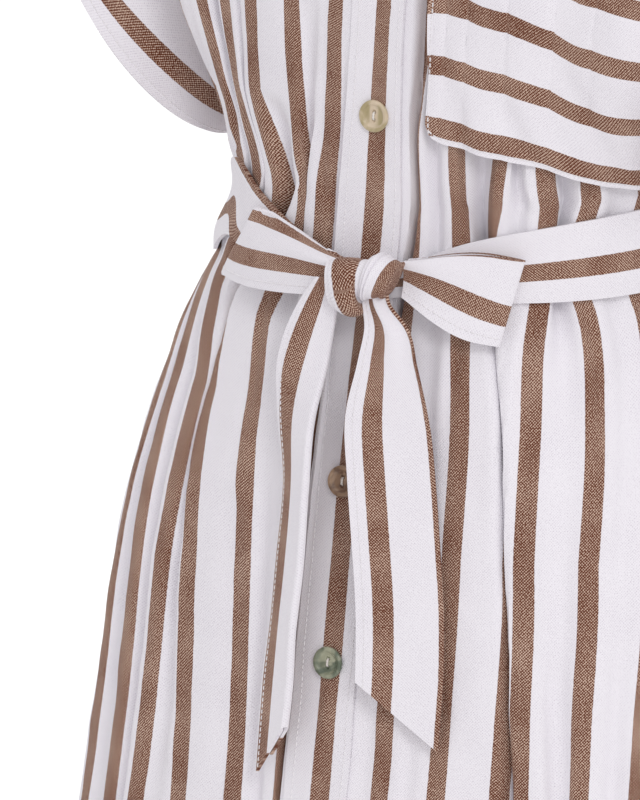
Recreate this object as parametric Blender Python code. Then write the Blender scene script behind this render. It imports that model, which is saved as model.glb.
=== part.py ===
"""Striped shirt dress with a tied belt, in the form it has when it is worn.

Metres, +Z up. The front faces -Y and the wearer's left is +X. The origin is the middle of the neck
opening, at the height of the high shoulder points.

Each cloth piece is one wall, worked out from two measures on the cloth: its distance round the dress
from the centre front ("across") and its level down the dress ("level", a height that the folds and the
tilt of the waist then move a little). Below the underarm a level is one ring round the worn form. Above
it the level runs between the underarm ring and the neckline and shoulder seams. Folds take up the cloth
that a ring has no room for.
"""
from collections import namedtuple

import bpy
import numpy as np

# Cloth and seams
WALL = 0.0016            # thickness of one layer of cloth
SEAM_GAP = 0.0003        # clearance between two pieces that are sewn together
PANEL_WIDTH = 0.264      # side seam from the centre front or the centre back, on the cloth
SIDE_MITRE = 0.5         # how far the inner face stops short at a side seam, as a share of WALL
ARMHOLE_MITRE = 1.1      # the same at the armholes
SHOULDER_MITRE = 2.0     # the same at the shoulder seams and the neckline

# Levels that the pieces share
UNDERARM = -0.392
WAIST = -0.425
HEM = -1.060
WAIST_TILT = 0.030       # the waist sits this much higher at the back than at the front
TILT_FROM = -0.800       # below this level the rings are level again
TILT_POWER = 0.7         # under 1, the tilt comes early on the way round from the front

# Folds: a trough never gets deeper than this share of its half width, and a shallow cosine trough of depth
# d over a half width h takes up FOLD_LENGTH * d * d / h of cloth.
DEEPEST_FOLD = 0.95
FOLD_LENGTH = 1.234

# Neck, shoulder and armhole
NECK_HALF_WIDTH = 0.072
NECK_FRONT_DEPTH = 0.068
NECK_BACK_DEPTH = 0.066
NECK_FRONT_DROP = 0.070
NECK_BACK_RISE = 0.012
NECK_FRONT_BEND = 1.3                # over 1, the front neckline dips late, towards its middle
SHOULDER_Y = 0.004
SHOULDER_POINT = (0.205, -0.075)     # x and z of the end of the shoulder seam
SHOULDER_CLOTH = 0.235               # across, at the end of the shoulder seam
NARROWING_FROM = 0.200               # gathers further across than this draw together towards the shoulder
ARMHOLE_FOOT_X = 0.126
ARMHOLE_HALF_DEPTH = 0.047
ARMHOLE_FLARE = 1.35                 # how late the armhole edge leans outwards
ARMHOLE_POINTED = 0.8                # its lower half narrows to a point, as a power of a sine
ARMHOLE_ROUNDED = 2.5                # its upper half is round, as the power of a superellipse

# Sleeve
SLEEVE_MOUTH = (0.181, -0.327)       # x and z of the middle of the sleeve's mouth
SLEEVE_MOUTH_HALF = 0.078            # half length of the mouth, from its outer to its underarm point
SLEEVE_MOUTH_LEAN = (0.637, 0.771)   # how that line leans: inwards and down
SLEEVE_MOUTH_DEPTH = 0.065           # half depth of the mouth, front to back
SLEEVE_CROWN = 0.036                 # how far the top of the sleeve bows out
SLEEVE_CROWN_RISE = 0.3              # and how far up, as a share of that
SLEEVE_ROWS = (0.0, 0.15, 0.34, 0.56, 0.78, 1.0)

# Placket, buttons and pocket
PLACKET_HALF = 0.0165
PLACKET_LAP = 0.0015                 # the placket lies this far over the right front
FRONTS_GAP = 0.0007                  # between the right front's edge and the left front's edge under it
PLACKET_FOOT = 0.0005                # the placket stops this far above the hem
PLACKET_HEAD = 0.0020                # and this far below the neckline
BUTTON_SPACING = 0.091
BUTTON_TOP = -0.1665
BUTTON_COUNT = 9
BUTTON_RADIUS = 0.0081
BUTTON_THICKNESS = 0.0026
BUTTON_SIDES = 16
# Radius and height of the button's turned outline, as shares of its radius and thickness.
BUTTON_PROFILE = (
    (0.0, 0.0), (0.86, 0.0), (1.0, 0.30), (1.0, 0.62), (0.90, 1.0), (0.74, 0.94), (0.58, 0.66), (0.0, 0.60),
)
POCKET_INNER = 0.0410                # across, at the pocket's edge nearest the placket
POCKET_OUTER = 0.183
POCKET_GAP = 0.0006                  # clearance between the pocket and the front
POCKET_TOP_SHARE = 0.545             # height of its top edge, as a share of the way from underarm to neck
POCKET_FOOT_INNER = 0.094            # the same for the two corners of its foot
POCKET_FOOT_OUTER = 0.012

# Collar
STAND_HEIGHT = 0.028
STAND_LEAN = 0.006
STAND_CLEAR = 0.0014                 # its foot above and inside the neckline
STAND_LAP = 10.0                     # degrees that each end of the stand passes the centre front
STAND_STEP = 0.0024                  # the outer end of the stand lies this far outside the inner one
STAND_COLUMNS = 33
FALL_START = 0.0042                  # the fall starts this far outside the top of the stand
FALL_LIFT = 0.0012                   # and this far above it
FALL_BEND = 0.8                      # under 1, the fall spreads early on its way down
FALL_ROWS = (0.0, 0.12, 0.5, 1.0)

# Belt and bow
BELT_WALL = 0.0020
BELT_END_WALL = 0.0018               # loops and tails
BELT_COLUMNS = 48
BELT_CROWN = 0.0006                  # the belt's middle stands this far out from its edges
BELT_CLEAR = 0.0008                  # the belt's inner face from the crowns of the gathers
BELT_OVER_BUTTON = 0.0060            # how much further out it passes over the placket
BELT_OVER_WIDTH = 0.024              # half width of that rise
# The belt narrows into the knot: arc from the centre front, height of its middle, half of its height.
Band = namedtuple("Band", "arc rise half")
BELT_SHAPE = (
    Band(-0.345, 0.0000, 0.0215),
    Band(-0.180, 0.0000, 0.0210),
    Band(-0.125, 0.0050, 0.0205),
    Band(-0.098, 0.0100, 0.0195),
    Band(-0.070, 0.0050, 0.0180),
    Band(-0.045, -0.0010, 0.0150),
    Band(-0.015, -0.0050, 0.0100),
    Band(0.0135, -0.0040, 0.0090),
    Band(0.032, -0.0020, 0.0095),
    Band(0.052, 0.0010, 0.0140),
    Band(0.090, 0.0037, 0.0183),
    Band(0.145, 0.0035, 0.0210),
    Band(0.345, 0.0000, 0.0215),
)
KNOT_ACROSS = 0.0135                 # middle of the knot, from the centre front
KNOT_OUT = 0.0135                    # middle of the knot, outwards from the belt's inner face
KNOT_RISE = -0.001                   # middle of the knot, above the middle of the belt
KNOT_HALF = (0.0160, 0.0100, 0.0122)
KNOT_SQUARE = 0.85                   # under 1, it is squarer than an ellipse seen from above
KNOT_BLUNT = 0.7                     # under 1, it is blunter at its top and foot
KNOT_GATHER = 0.05                   # depth of its gathers, as a share of its half width
KNOT_SIDES = 16
KNOT_ROWS = 7

# One row for each level of the worn form below the underarm.
# front_share is the part of the ring from the centre front to a side seam, and flare is how far the side
# seam has moved out on the cloth.
Level = namedtuple("Level", "z half_width front_depth back_depth roundness front_share flare")
LEVELS = (
    Level(-1.060, 0.2040, 0.118, 0.140, 2.20, 0.252, 0.036),
    Level(-0.850, 0.1870, 0.107, 0.134, 2.20, 0.255, 0.022),
    Level(-0.728, 0.1760, 0.101, 0.130, 2.20, 0.257, 0.013),
    Level(-0.650, 0.1710, 0.099, 0.127, 2.20, 0.260, 0.008),
    Level(-0.580, 0.1640, 0.098, 0.122, 2.20, 0.265, 0.004),
    Level(-0.530, 0.1520, 0.097, 0.113, 2.15, 0.270, 0.002),
    Level(-0.490, 0.1385, 0.095, 0.102, 2.10, 0.275, 0.000),
    Level(-0.464, 0.1270, 0.093, 0.093, 2.10, 0.280, 0.000),
    Level(-0.449, 0.1200, 0.092, 0.088, 2.10, 0.285, 0.000),
    Level(-0.425, 0.1200, 0.092, 0.088, 2.10, 0.285, 0.000),
    Level(-0.401, 0.1200, 0.092, 0.088, 2.10, 0.285, 0.000),
    Level(-0.392, 0.1206, 0.0922, 0.0883, 2.10, 0.280, 0.000),
)

# The large folds of the fronts: where they lie on the cloth from the centre front low down, under the belt
# and over it, half their width low down and at the waist, and how much cloth they take up at each level.
FOLD_LEVELS = (-1.060, -0.700, -0.590, -0.500, -0.455, -0.425, -0.392, -0.350, -0.300, -0.170)
PLACE_LEVELS = (-0.600, -0.455, -0.392)
HALF_LEVELS = (-0.600, -0.425)
Fold = namedtuple("Fold", "places halves takes")
LEFT_FOLDS = (
    Fold((0.0260, 0.0250, 0.0250), (0.0080, 0.0085), (0, 0, .002, .007, .013, .012, .012, .012, .006, 0)),
    Fold((0.0510, 0.0510, 0.0510), (0.0090, 0.0090), (0, .001, .002, .001, .001, .004, .006, .005, .003, 0)),
    Fold((0.0870, 0.1040, 0.0850), (0.018, 0.018), (.018, .023, .028, .030, .028, .024, .017, .010, .005, 0)),
    Fold((0.1555, 0.151, 0.149), (0.0105, 0.014), (.004, .004, .002, .001, .005, .018, .016, .013, .009, 0)),
)
RIGHT_FOLDS = (
    Fold((0.0285, 0.0265, 0.0260), (0.0080, 0.0055), (.008, .0115, .010, .007, .005, .004, .004, .002, 0, 0)),
    Fold((0.0500, 0.0525, 0.0530), (0.0090, 0.0120), (.004, .005, .0025, 0, .002, .017, .020, .008, .002, 0)),
    Fold((0.118, 0.101, 0.0840), (0.012, 0.0145), (.001, .001, .004, .020, .017, .016, .015, .003, .001, 0)),
    Fold((0.150, 0.1450, 0.138), (0.012, 0.019), (.006, .0085, .008, .005, .003, .012, .029, .028, .019, 0)),
    Fold((0.1820, 0.1820, 0.1820), (0.0120, 0.0110), (.004, .004, .008, .014, .010, .004, 0, 0, 0, 0)),
)
OVER_BELT = 6                        # number of the fold level just over the belt

# The centre front hangs a little towards the wearer's left of the middle, more the nearer it is.
CENTRE_DRIFT = 0.0045
DRIFT_REACH = 0.090
DRIFT_TOP = (-0.200, -0.070)         # between these heights it dies out

# Gathers even out to their low shares over this height below the waist, and fade out above the underarm.
GATHER_DRIFT_HEIGHT = 0.250
GATHER_FADE = ((UNDERARM, 1.0), (-0.300, 0.75), (-0.120, 0.0))
EDGE_GATHER_FADE = ((UNDERARM, 1.0), (-0.340, 0.35), (-0.280, 0.0))

# Gathers share what is left over: where they lie, half their width, and their share above and below.
Gather = namedtuple("Gather", "place half share_high share_low")
FRONT_GATHERS = (
    Gather(0.2130, 0.0125, 1.0, 1.0),
    Gather(0.2415, 0.0110, 0.9, 0.4),
)
BACK_GATHERS_LEFT = (
    Gather(0.019, 0.0130, 1.0, 1.5),
    Gather(0.053, 0.0130, 0.9, 0.3),
    Gather(0.087, 0.0130, 1.1, 1.6),
    Gather(0.121, 0.0130, 0.9, 0.3),
    Gather(0.155, 0.0130, 1.0, 1.4),
    Gather(0.186, 0.0130, 1.0, 0.4),
    Gather(0.228, 0.0130, 1.2, 1.1),
)
BACK_GATHERS_RIGHT = (
    Gather(0.022, 0.0130, 1.0, 0.4),
    Gather(0.056, 0.0130, 1.1, 1.7),
    Gather(0.090, 0.0130, 0.9, 0.3),
    Gather(0.124, 0.0130, 1.0, 1.5),
    Gather(0.155, 0.0130, 0.9, 0.4),
    Gather(0.186, 0.0130, 1.1, 1.3),
    Gather(0.230, 0.0130, 1.1, 0.7),
)

# Fullness of the upper part. place is the share of the way to the armhole and half the half width there;
# peak is the share of the way up, and low and high how far the swelling reaches below and above it.
Swell = namedtuple("Swell", "place half peak low high height")
SWELL_LEAN = 0.85                    # how far the push turns to the side at the armhole
FRONT_SWELLS = (
    Swell(0.74, 0.26, 0.22, 0.22, 0.40, 0.018),
    Swell(0.45, 0.50, 0.40, 0.40, 0.45, 0.012),
    Swell(0.56, 0.44, 0.80, 0.40, 0.20, 0.024),
)
BACK_SWELLS = (
    Swell(0.74, 0.26, 0.22, 0.22, 0.40, 0.015),
    Swell(0.42, 0.50, 0.52, 0.50, 0.45, 0.010),
    Swell(0.56, 0.44, 0.80, 0.40, 0.20, 0.024),
)

# Middle line of the front and of the back above the underarm: height and depth.
CENTRE_FRONT = ((-0.392, -0.0935), (-0.330, -0.0965), (-0.250, -0.0980), (-0.150, -0.0880), (-0.070, -0.0640))
CENTRE_BACK = ((-0.362, 0.0910), (-0.300, 0.0990), (-0.200, 0.1060), (-0.100, 0.0980), (0.012, 0.0700))

# Rows of the body panels
ROWS_BELOW = (-1.060, -0.950, -0.830, -0.728, -0.640, -0.575, -0.530, -0.495, -0.466, -0.449, -0.425, -0.401)
ROWS_ABOVE = (0.0, 0.028, 0.070, 0.12, 0.22, 0.34, 0.545, 0.68, 0.84, 0.95, 1.0)
FOLD_STATIONS = (-1.0, -0.42, 0.42, 1.0)
WIDEST_SPAN = 0.024

# Collar fall: degrees round the neck from the front, how far it reaches out, and how far it drops.
Fall = namedtuple("Fall", "turn out drop")
FALL_SHAPE = (
    Fall(7.0, 0.027, 0.062),
    Fall(20.0, 0.030, 0.058),
    Fall(50.0, 0.026, 0.044),
    Fall(90.0, 0.030, 0.032),
    Fall(130.0, 0.026, 0.036),
    Fall(180.0, 0.022, 0.040),
)

# Bow loops: where they start and end from the middle of the knot, height at the knot and at the end, lean of
# the end, how far their middle is above the belt's there, and the share of the reach that they open over.
Loop = namedtuple("Loop", "name side start reach throat height lean rise_in rise_out opens")
LOOPS = (
    Loop("loop_right", -1, 0.0152, 0.0805, 0.0165, 0.0425, 0.47, -0.0040, -0.0035, 1.0),
    Loop("loop_left", 1, 0.0148, 0.0655, 0.0180, 0.0425, 0.20, -0.0015, -0.0133, 0.78),
)
# Offset of a loop's cloth from the belt: share of the reach along the front layer and along the back one.
LOOP_FRONT = ((0.0, 0.0118), (0.25, 0.0140), (0.60, 0.0135), (0.88, 0.0110))
LOOP_BACK = ((0.88, 0.0047), (0.55, 0.0040), (0.25, 0.0044), (0.0, 0.0058))
LOOP_TIP = 0.0080
LOOP_OPENING = 1.1                   # over 1, it opens late

# Belt ends: x and y of the middle, height, turn of the width from the X axis in degrees, and width.
Tail = namedtuple("Tail", "z x y turn width")
TAIL_RIGHT = (
    Tail(-0.4380, 0.0084, -0.1088, -6.0, 0.014),
    Tail(-0.4680, -0.0148, -0.1140, -26.0, 0.043),
    Tail(-0.4980, -0.0168, -0.1160, -38.0, 0.044),
    Tail(-0.5310, -0.0145, -0.1165, -47.0, 0.044),
    Tail(-0.5730, -0.0144, -0.1165, -46.0, 0.044),
    Tail(-0.6040, -0.0154, -0.1165, -47.0, 0.044),
    Tail(-0.6355, -0.0157, -0.1165, -44.0, 0.044),
    Tail(-0.6580, -0.0160, -0.1165, -42.0, 0.040),
)
TAIL_LEFT = (
    Tail(-0.4380, 0.0235, -0.1090, 8.0, 0.013),
    Tail(-0.4660, 0.0290, -0.1090, 16.0, 0.028),
    Tail(-0.4950, 0.0315, -0.1085, 18.0, 0.042),
    Tail(-0.5250, 0.0360, -0.1075, 20.0, 0.044),
    Tail(-0.5550, 0.0405, -0.1065, 20.0, 0.044),
    Tail(-0.5870, 0.0450, -0.1055, 19.0, 0.044),
    Tail(-0.6190, 0.0475, -0.1050, 18.0, 0.044),
    Tail(-0.6260, 0.0478, -0.1048, 18.0, 0.044),
)
TAIL_POINT_DROP = 0.030              # the slanted end's long corner hangs this much lower

# Colours, linear
WHITE_CLOTH = (0.80, 0.78, 0.82, 1.0)
BROWN_CLOTH = (0.34, 0.22, 0.18, 1.0)
SHELL = (0.42, 0.36, 0.29, 1.0)
SHARP_ANGLE = 40.0                   # degrees: edges sharper than this are shaded as edges


def smooth_steps(x, xs, ys):
    """Read a table of (xs, ys) at x, on a cubic curve with the mean of the neighbours' slopes at each row."""
    xs = np.asarray(xs, float)
    ys = np.asarray(ys, float)
    slopes = np.gradient(ys, xs)
    x = np.clip(x, xs[0], xs[-1])
    i = np.clip(np.searchsorted(xs, x, side="right") - 1, 0, len(xs) - 2)
    span = xs[i + 1] - xs[i]
    t = (x - xs[i]) / span
    rise = (2 * t ** 3 - 3 * t ** 2 + 1) * ys[i] + (3 * t ** 2 - 2 * t ** 3) * ys[i + 1]
    turn = (t ** 3 - 2 * t ** 2 + t) * slopes[i] + (t ** 3 - t ** 2) * slopes[i + 1]
    return rise + turn * span


def level_value(field, level):
    """One measure of the worn form, such as its half width, at each level."""
    return smooth_steps(level, [row.z for row in LEVELS], [getattr(row, field) for row in LEVELS])


def unit(vectors):
    """Vectors made one long."""
    return vectors / np.maximum(np.linalg.norm(vectors, axis=-1, keepdims=True), 1e-12)


def signed_power(value, power):
    """The power of a value that keeps the value's sign."""
    return np.sign(value) * np.abs(value) ** power


class Ring:
    """One ring round the worn form: a superellipse, measured by its arc from the centre front."""

    def __init__(self, level):
        self.level = level
        turn = np.linspace(0.0, np.pi, 241)
        power = 2 / level_value("roundness", level)
        front_depth = level_value("front_depth", level)
        back_depth = level_value("back_depth", level)
        depth = np.where(turn < np.pi / 2, front_depth, back_depth)
        x = level_value("half_width", level) * signed_power(np.sin(turn), power)
        y = -depth * signed_power(np.cos(turn), power)
        self.turn = turn
        self.x = x
        self.y = y
        self.arc = np.concatenate([[0.0], np.cumsum(np.hypot(np.diff(x), np.diff(y)))])
        self.half_girth = self.arc[-1]
        self.side = 2 * self.half_girth * level_value("front_share", level)

    def points(self, arc):
        """Points at an arc from the centre front, positive towards the wearer's left."""
        way = np.abs(arc)
        turn = np.interp(way, self.arc, self.turn)
        x = np.sign(arc) * np.interp(way, self.arc, self.x)
        y = np.interp(way, self.arc, self.y)
        fade = np.clip((self.level - TILT_FROM) / (WAIST - TILT_FROM), 0.0, 1.0)
        z = self.level + fade * WAIST_TILT * ((1 - np.cos(turn)) / 2) ** TILT_POWER
        return np.stack([x, y, z], axis=-1)


def bump(t):
    """A smooth hump: one at t = 0, nothing past t = -1 and t = 1."""
    return np.cos(np.clip(t, -1.0, 1.0) * np.pi / 2) ** 2


def take_up_curve(t):
    """Share of a fold's cloth that is taken up at t, from 0 at t = -1 to 1 at t = 1.

    The slope is even in the middle and falls to nothing at both ends.
    """
    t = np.clip(t, -1.0, 1.0)
    return 0.5 + 0.5625 * (t - t ** 9 / 9)


def fold_dip(t, half, take):
    """Depth of a fold at t: a cosine trough that is as deep as its taken-up cloth needs."""
    depth = half * np.minimum(DEEPEST_FOLD, np.sqrt(take / half / FOLD_LENGTH))
    return depth * bump(t)


def fold_rows(side, level):
    """(place, half width, take-up) of each fold of half a panel at one level.

    side is front_left, front_right, back_left or back_right. Gathers get what the ring has no room for.
    """
    rows = []
    below = min(level, UNDERARM)
    ring = Ring(below)
    cloth = PANEL_WIDTH + level_value("flare", below)
    room = ring.side if side.startswith("front") else ring.half_girth - ring.side
    fade = np.interp(level, *zip(*GATHER_FADE))
    edge_fade = np.interp(level, *zip(*EDGE_GATHER_FADE))
    folds = {"front_left": LEFT_FOLDS, "front_right": RIGHT_FOLDS}.get(side, ())
    for fold in folds:
        place = np.interp(level, PLACE_LEVELS, fold.places)
        half = np.interp(level, HALF_LEVELS, fold.halves)
        rows.append((place, half, np.interp(level, FOLD_LEVELS, fold.takes)))
    spare = cloth - room - sum(row[2] for row in rows if level <= UNDERARM)
    if level > UNDERARM:
        spare = cloth - room - sum(fold.takes[OVER_BELT] for fold in folds)
    gathers = {"back_left": BACK_GATHERS_LEFT, "back_right": BACK_GATHERS_RIGHT}.get(side, FRONT_GATHERS)
    low = np.clip((WAIST - level) / GATHER_DRIFT_HEIGHT, 0.0, 1.0)
    shares = [g.share_high + (g.share_low - g.share_high) * low for g in gathers]
    squeeze = 1.0
    if level > UNDERARM:
        squeeze = ((cloth_edge(level) - NARROWING_FROM) / (PANEL_WIDTH - NARROWING_FROM)) ** 2
    for gather, share in zip(gathers, shares):
        beyond = max(gather.place - NARROWING_FROM, 0.0)
        place = gather.place - beyond + squeeze * beyond
        half = gather.half * (squeeze if beyond else 1.0)
        left = edge_fade if beyond else fade
        rows.append((place, half, max(spare, 0.0) * left * share / sum(shares)))
    return rows


def cloth_edge(level):
    """Across, at the panel's outer edge: the side seam, then the armhole."""
    if level <= UNDERARM:
        return PANEL_WIDTH + float(level_value("flare", level))
    return PANEL_WIDTH + (SHOULDER_CLOTH - PANEL_WIDTH) * (level - UNDERARM) / -UNDERARM


def stations(side, level):
    """Places across half a panel where its columns run: along each fold, and between folds."""
    start = PLACKET_HALF + FRONTS_GAP if side == "front_right" else 0.0
    marks = [start]
    for place, half, _take in fold_rows(side, level):
        marks.extend(place + half * station for station in FOLD_STATIONS)
    marks.append(cloth_edge(level))
    return marks


def column_plan(side):
    """How many columns go from each mark to the next, judged where the marks are furthest apart."""
    gaps = np.maximum(np.diff(stations(side, WAIST)), np.diff(stations(side, HEM)))
    return [max(1, int(np.ceil(gap / WIDEST_SPAN))) for gap in gaps]


def columns(side, level):
    """Distances across half a panel at one level."""
    marks = stations(side, level)
    values = []
    for low, high, parts in zip(marks[:-1], marks[1:], column_plan(side)):
        values.extend(low + (high - low) * k / parts for k in range(parts))
    values.append(marks[-1])
    return np.array(values)


def laid_out(side, across, level):
    """Where cloth at a distance across lies: its arc on the ring, and how deep the folds sink it."""
    arc = across.copy()
    dip = np.zeros_like(across)
    for place, half, take in fold_rows(side, level):
        t = (across - place) / half
        arc -= take * take_up_curve(t)
        dip += fold_dip(t, half, take)
    return arc, dip


def neckline(share, back):
    """Top edge of half a panel: neckline from the centre, then the shoulder seam, at a share of its cloth."""
    cloth = share * SHOULDER_CLOTH
    turn = np.clip(cloth / NECK_HALF_WIDTH, 0.0, 1.0)
    along = np.clip((cloth - NECK_HALF_WIDTH) / (SHOULDER_CLOTH - NECK_HALF_WIDTH), 0.0, 1.0)
    bend = np.sqrt(np.maximum(1 - turn ** 2, 0.0))
    x = NECK_HALF_WIDTH * turn + (SHOULDER_POINT[0] - NECK_HALF_WIDTH) * along
    if back:
        y = SHOULDER_Y + NECK_BACK_DEPTH * bend
        z = NECK_BACK_RISE * bend
    else:
        y = SHOULDER_Y - NECK_FRONT_DEPTH * bend
        z = -NECK_FRONT_DROP * bend ** NECK_FRONT_BEND
    z = z + SHOULDER_POINT[1] * along
    return np.stack([x, y, z], axis=-1)


def armhole_edge(t, back):
    """Armhole edge from the underarm, t = 0, to the end of the shoulder seam, t = 1."""
    foot = Ring(UNDERARM)
    start = foot.points(np.array([foot.side]))[0]
    x = ARMHOLE_FOOT_X + (SHOULDER_POINT[0] - ARMHOLE_FOOT_X) * t ** ARMHOLE_FLARE
    x = x + (start[0] - ARMHOLE_FOOT_X) * (1 - t) ** 4
    pointed = np.sin(np.pi * t) ** ARMHOLE_POINTED
    rounded = np.sqrt(np.maximum(1 - np.abs(2 * t - 1) ** ARMHOLE_ROUNDED, 0.0))
    bow = ARMHOLE_HALF_DEPTH * np.where(t < 0.5, pointed, rounded)
    y = start[1] * (1 - t) + SHOULDER_Y * t + (bow if back else -bow)
    z = start[2] + (SHOULDER_POINT[1] - start[2]) * t
    return np.stack([x, y, z], axis=-1)


def centre_line(t, back):
    """Centre front or centre back line from the underarm level to the neckline."""
    table = CENTRE_BACK if back else CENTRE_FRONT
    heights = [row[0] for row in table]
    z = heights[0] + (heights[-1] - heights[0]) * t
    y = smooth_steps(z, heights, [row[1] for row in table])
    return np.stack([np.zeros_like(z), y, z], axis=-1)


def upper_points(share, t, back):
    """Patch between the underarm ring, the neckline, the centre line and the armhole edge.

    share is 0 at the centre and 1 at the armhole, t is 0 at the underarm and 1 at the top. The two rulings
    are added and the mean of the corners is taken off, and then the swellings push the patch outwards.
    """
    ring = Ring(UNDERARM)
    if back:
        foot = ring.points(ring.half_girth - share * (ring.half_girth - ring.side))
    else:
        foot = ring.points(share * ring.side)
    top = neckline(share, back)
    inner = centre_line(t, back)
    outer = armhole_edge(t, back)
    s = share[..., None]
    w = t[..., None]
    corners = (1 - s) * ((1 - w) * centre_line(np.zeros(1), back) + w * neckline(np.zeros(1), back))
    corners = corners + s * ((1 - w) * armhole_edge(np.zeros(1), back) + w * neckline(np.ones(1), back))
    patch = (1 - w) * foot + w * top + (1 - s) * inner + s * outer - corners
    push = np.zeros_like(share)
    for swell in (BACK_SWELLS if back else FRONT_SWELLS):
        wide = bump((share - swell.place) / swell.half)
        tall = bump((t - swell.peak) / np.where(t < swell.peak, swell.low, swell.high))
        push = push + swell.height * wide * tall
    lean = np.clip(share, 0.0, 1.0) ** 2
    way = np.stack([SWELL_LEAN * lean, np.full_like(lean, 1.0 if back else -1.0), 0 * lean], axis=-1)
    return patch + push[..., None] * unit(way)


def body_points(side, across, levels):
    """Outer face of half a panel, at distances across (one row of values for each level).

    Positive x is the wearer's left: the right half is worked out as the left and then mirrored.
    """
    back = side.startswith("back")
    base = np.zeros(across.shape + (3,))
    dips = np.zeros(across.shape)
    for i, level in enumerate(levels):
        arc, dip = laid_out(side, across[i], level)
        full, _ = laid_out(side, np.array([cloth_edge(level)]), level)
        share = arc / full[0]
        if level < UNDERARM:
            ring = Ring(level)
            arc = ring.half_girth - share * (ring.half_girth - ring.side) if back else share * ring.side
            base[i] = ring.points(arc)
        else:
            t = np.full_like(share, (level - UNDERARM) / -UNDERARM)
            base[i] = upper_points(share, t, back)
        dips[i] = dip
    outward = grid_normals(base) * (-1 if back else 1)
    points = base - outward * dips[..., None]
    if side.endswith("right"):
        points[..., 0] *= -1
    return points


def drifted(points):
    """Front points moved sideways, most at the centre front, to where the centre front hangs."""
    foot, top = DRIFT_TOP
    t = np.clip((top - points[..., 2]) / (top - foot), 0.0, 1.0)
    points[..., 0] += CENTRE_DRIFT * bump(points[..., 0] / DRIFT_REACH) * t * t * (3 - 2 * t)
    return points


def grid_normals(grid, closed=False):
    """Unit normals of a grid of points (rows up, columns towards +X), pointing to the front."""
    up = np.gradient(grid, axis=0)
    if closed:
        wrapped = np.concatenate([grid[:, -2:-1], grid, grid[:, 1:2]], axis=1)
        along = (wrapped[:, 2:] - wrapped[:, :-2]) / 2
    else:
        along = np.gradient(grid, axis=1)
    return unit(np.cross(along, up))


def inset(grid, amount=SEAM_GAP / 2):
    """Draw the four edges of a panel in, so that two panels stand clear at their seam."""
    grid = grid.copy()
    for edge, inner in ((0, 1), (-1, -2)):
        grid[:, edge] += amount * unit(grid[:, inner] - grid[:, edge])
        grid[edge] += amount * unit(grid[inner] - grid[edge])
    return grid


def new_object(name, points, faces, colour, roughness=0.85):
    """Make an object with its own material from points and faces, shaded smooth."""
    mesh = bpy.data.meshes.new(name)
    mesh.from_pydata(points.reshape(-1, 3).tolist(), [], faces)
    mesh.validate()
    mesh.shade_smooth()
    mesh.set_sharp_from_angle(angle=np.radians(SHARP_ANGLE))
    material = bpy.data.materials.new(name + "_material")
    material.use_nodes = True
    shader = material.node_tree.nodes["Principled BSDF"]
    shader.inputs["Base Color"].default_value = colour
    shader.inputs["Roughness"].default_value = roughness
    shader.inputs["Metallic"].default_value = 0.0
    mesh.materials.append(material)
    made = bpy.data.objects.new(name, mesh)
    bpy.context.scene.collection.objects.link(made)
    return made


def grid_faces(rows, cols, start=0, flip=False, closed=False):
    """Triangles of a grid of points numbered row by row from start, closed round its columns or open."""
    faces = []
    for r in range(rows - 1):
        for c in range(cols if closed else cols - 1):
            d = (c + 1) % cols
            low = start + r * cols
            high = low + cols
            for triangle in ((low + c, low + d, high + d), (low + c, high + d, high + c)):
                faces.append(triangle[::-1] if flip else triangle)
    return faces


def cloth_wall(name, outer, colour, thickness=WALL, closed=False, mitre=(0.0, 0.0, 0.0, 0.0), inner=None):
    """A wall of even thickness behind an outer face whose columns run to the right and rows run up.

    mitre draws the inner face back from the first and last column and the first and last row, as a share of
    the thickness, so that two walls that meet at an angle stay clear inside. inner gives the inner face
    where the wall follows another piece.
    """
    rows, cols = outer.shape[:2]
    if inner is not None:
        normals = (outer - inner) / thickness
    elif closed:
        ring = np.concatenate([outer, outer[:, :1]], axis=1)
        normals = grid_normals(ring, closed=True)[:, :cols]
    else:
        normals = grid_normals(outer)
    inner = outer - thickness * normals
    first_column, last_column, first_row, last_row = (thickness * np.asarray(share) for share in mitre)
    if not closed:
        inner[:, 0] += first_column * unit(outer[:, 1] - outer[:, 0])
        inner[:, -1] += last_column * unit(outer[:, -2] - outer[:, -1])
    inner[0] += first_row * unit(outer[1] - outer[0])
    inner[-1] += last_row * unit(outer[-2] - outer[-1])
    count = rows * cols
    points = np.concatenate([outer.reshape(-1, 3), inner.reshape(-1, 3)])
    faces = grid_faces(rows, cols, 0, False, closed) + grid_faces(rows, cols, count, True, closed)
    for c in range(cols if closed else cols - 1):
        d = (c + 1) % cols
        faces.append((c, c + count, d + count, d))
        top = (rows - 1) * cols
        faces.append((top + d, top + d + count, top + c + count, top + c))
    if not closed:
        for r in range(rows - 1):
            a = r * cols
            b = (r + 1) * cols
            faces.append((b, b + count, a + count, a))
            a = r * cols + cols - 1
            b = (r + 1) * cols + cols - 1
            faces.append((a, a + count, b + count, b))
    return new_object(name, points, faces, colour)


def side_mitre(levels):
    """Mitre of a panel's outer edge on each row: the side seam's, then the armhole's."""
    armhole = np.interp(levels, (UNDERARM, -0.100, 0.0), (ARMHOLE_MITRE, ARMHOLE_MITRE, SIDE_MITRE))
    return np.where(np.array(levels) < UNDERARM, SIDE_MITRE, armhole)[:, None]


def body_levels():
    """Levels of the body panels' rows, from the hem to the neckline."""
    return list(ROWS_BELOW) + [UNDERARM * (1 - t) for t in ROWS_ABOVE]


def make_front_right():
    levels = body_levels()
    across = np.array([columns("front_right", level) for level in levels])
    points = drifted(body_points("front_right", across, levels))[:, ::-1]
    mitre = (side_mitre(levels), 0.0, 0.0, SHOULDER_MITRE)
    cloth_wall("front_right", inset(points), WHITE_CLOTH, mitre=mitre)


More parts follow.
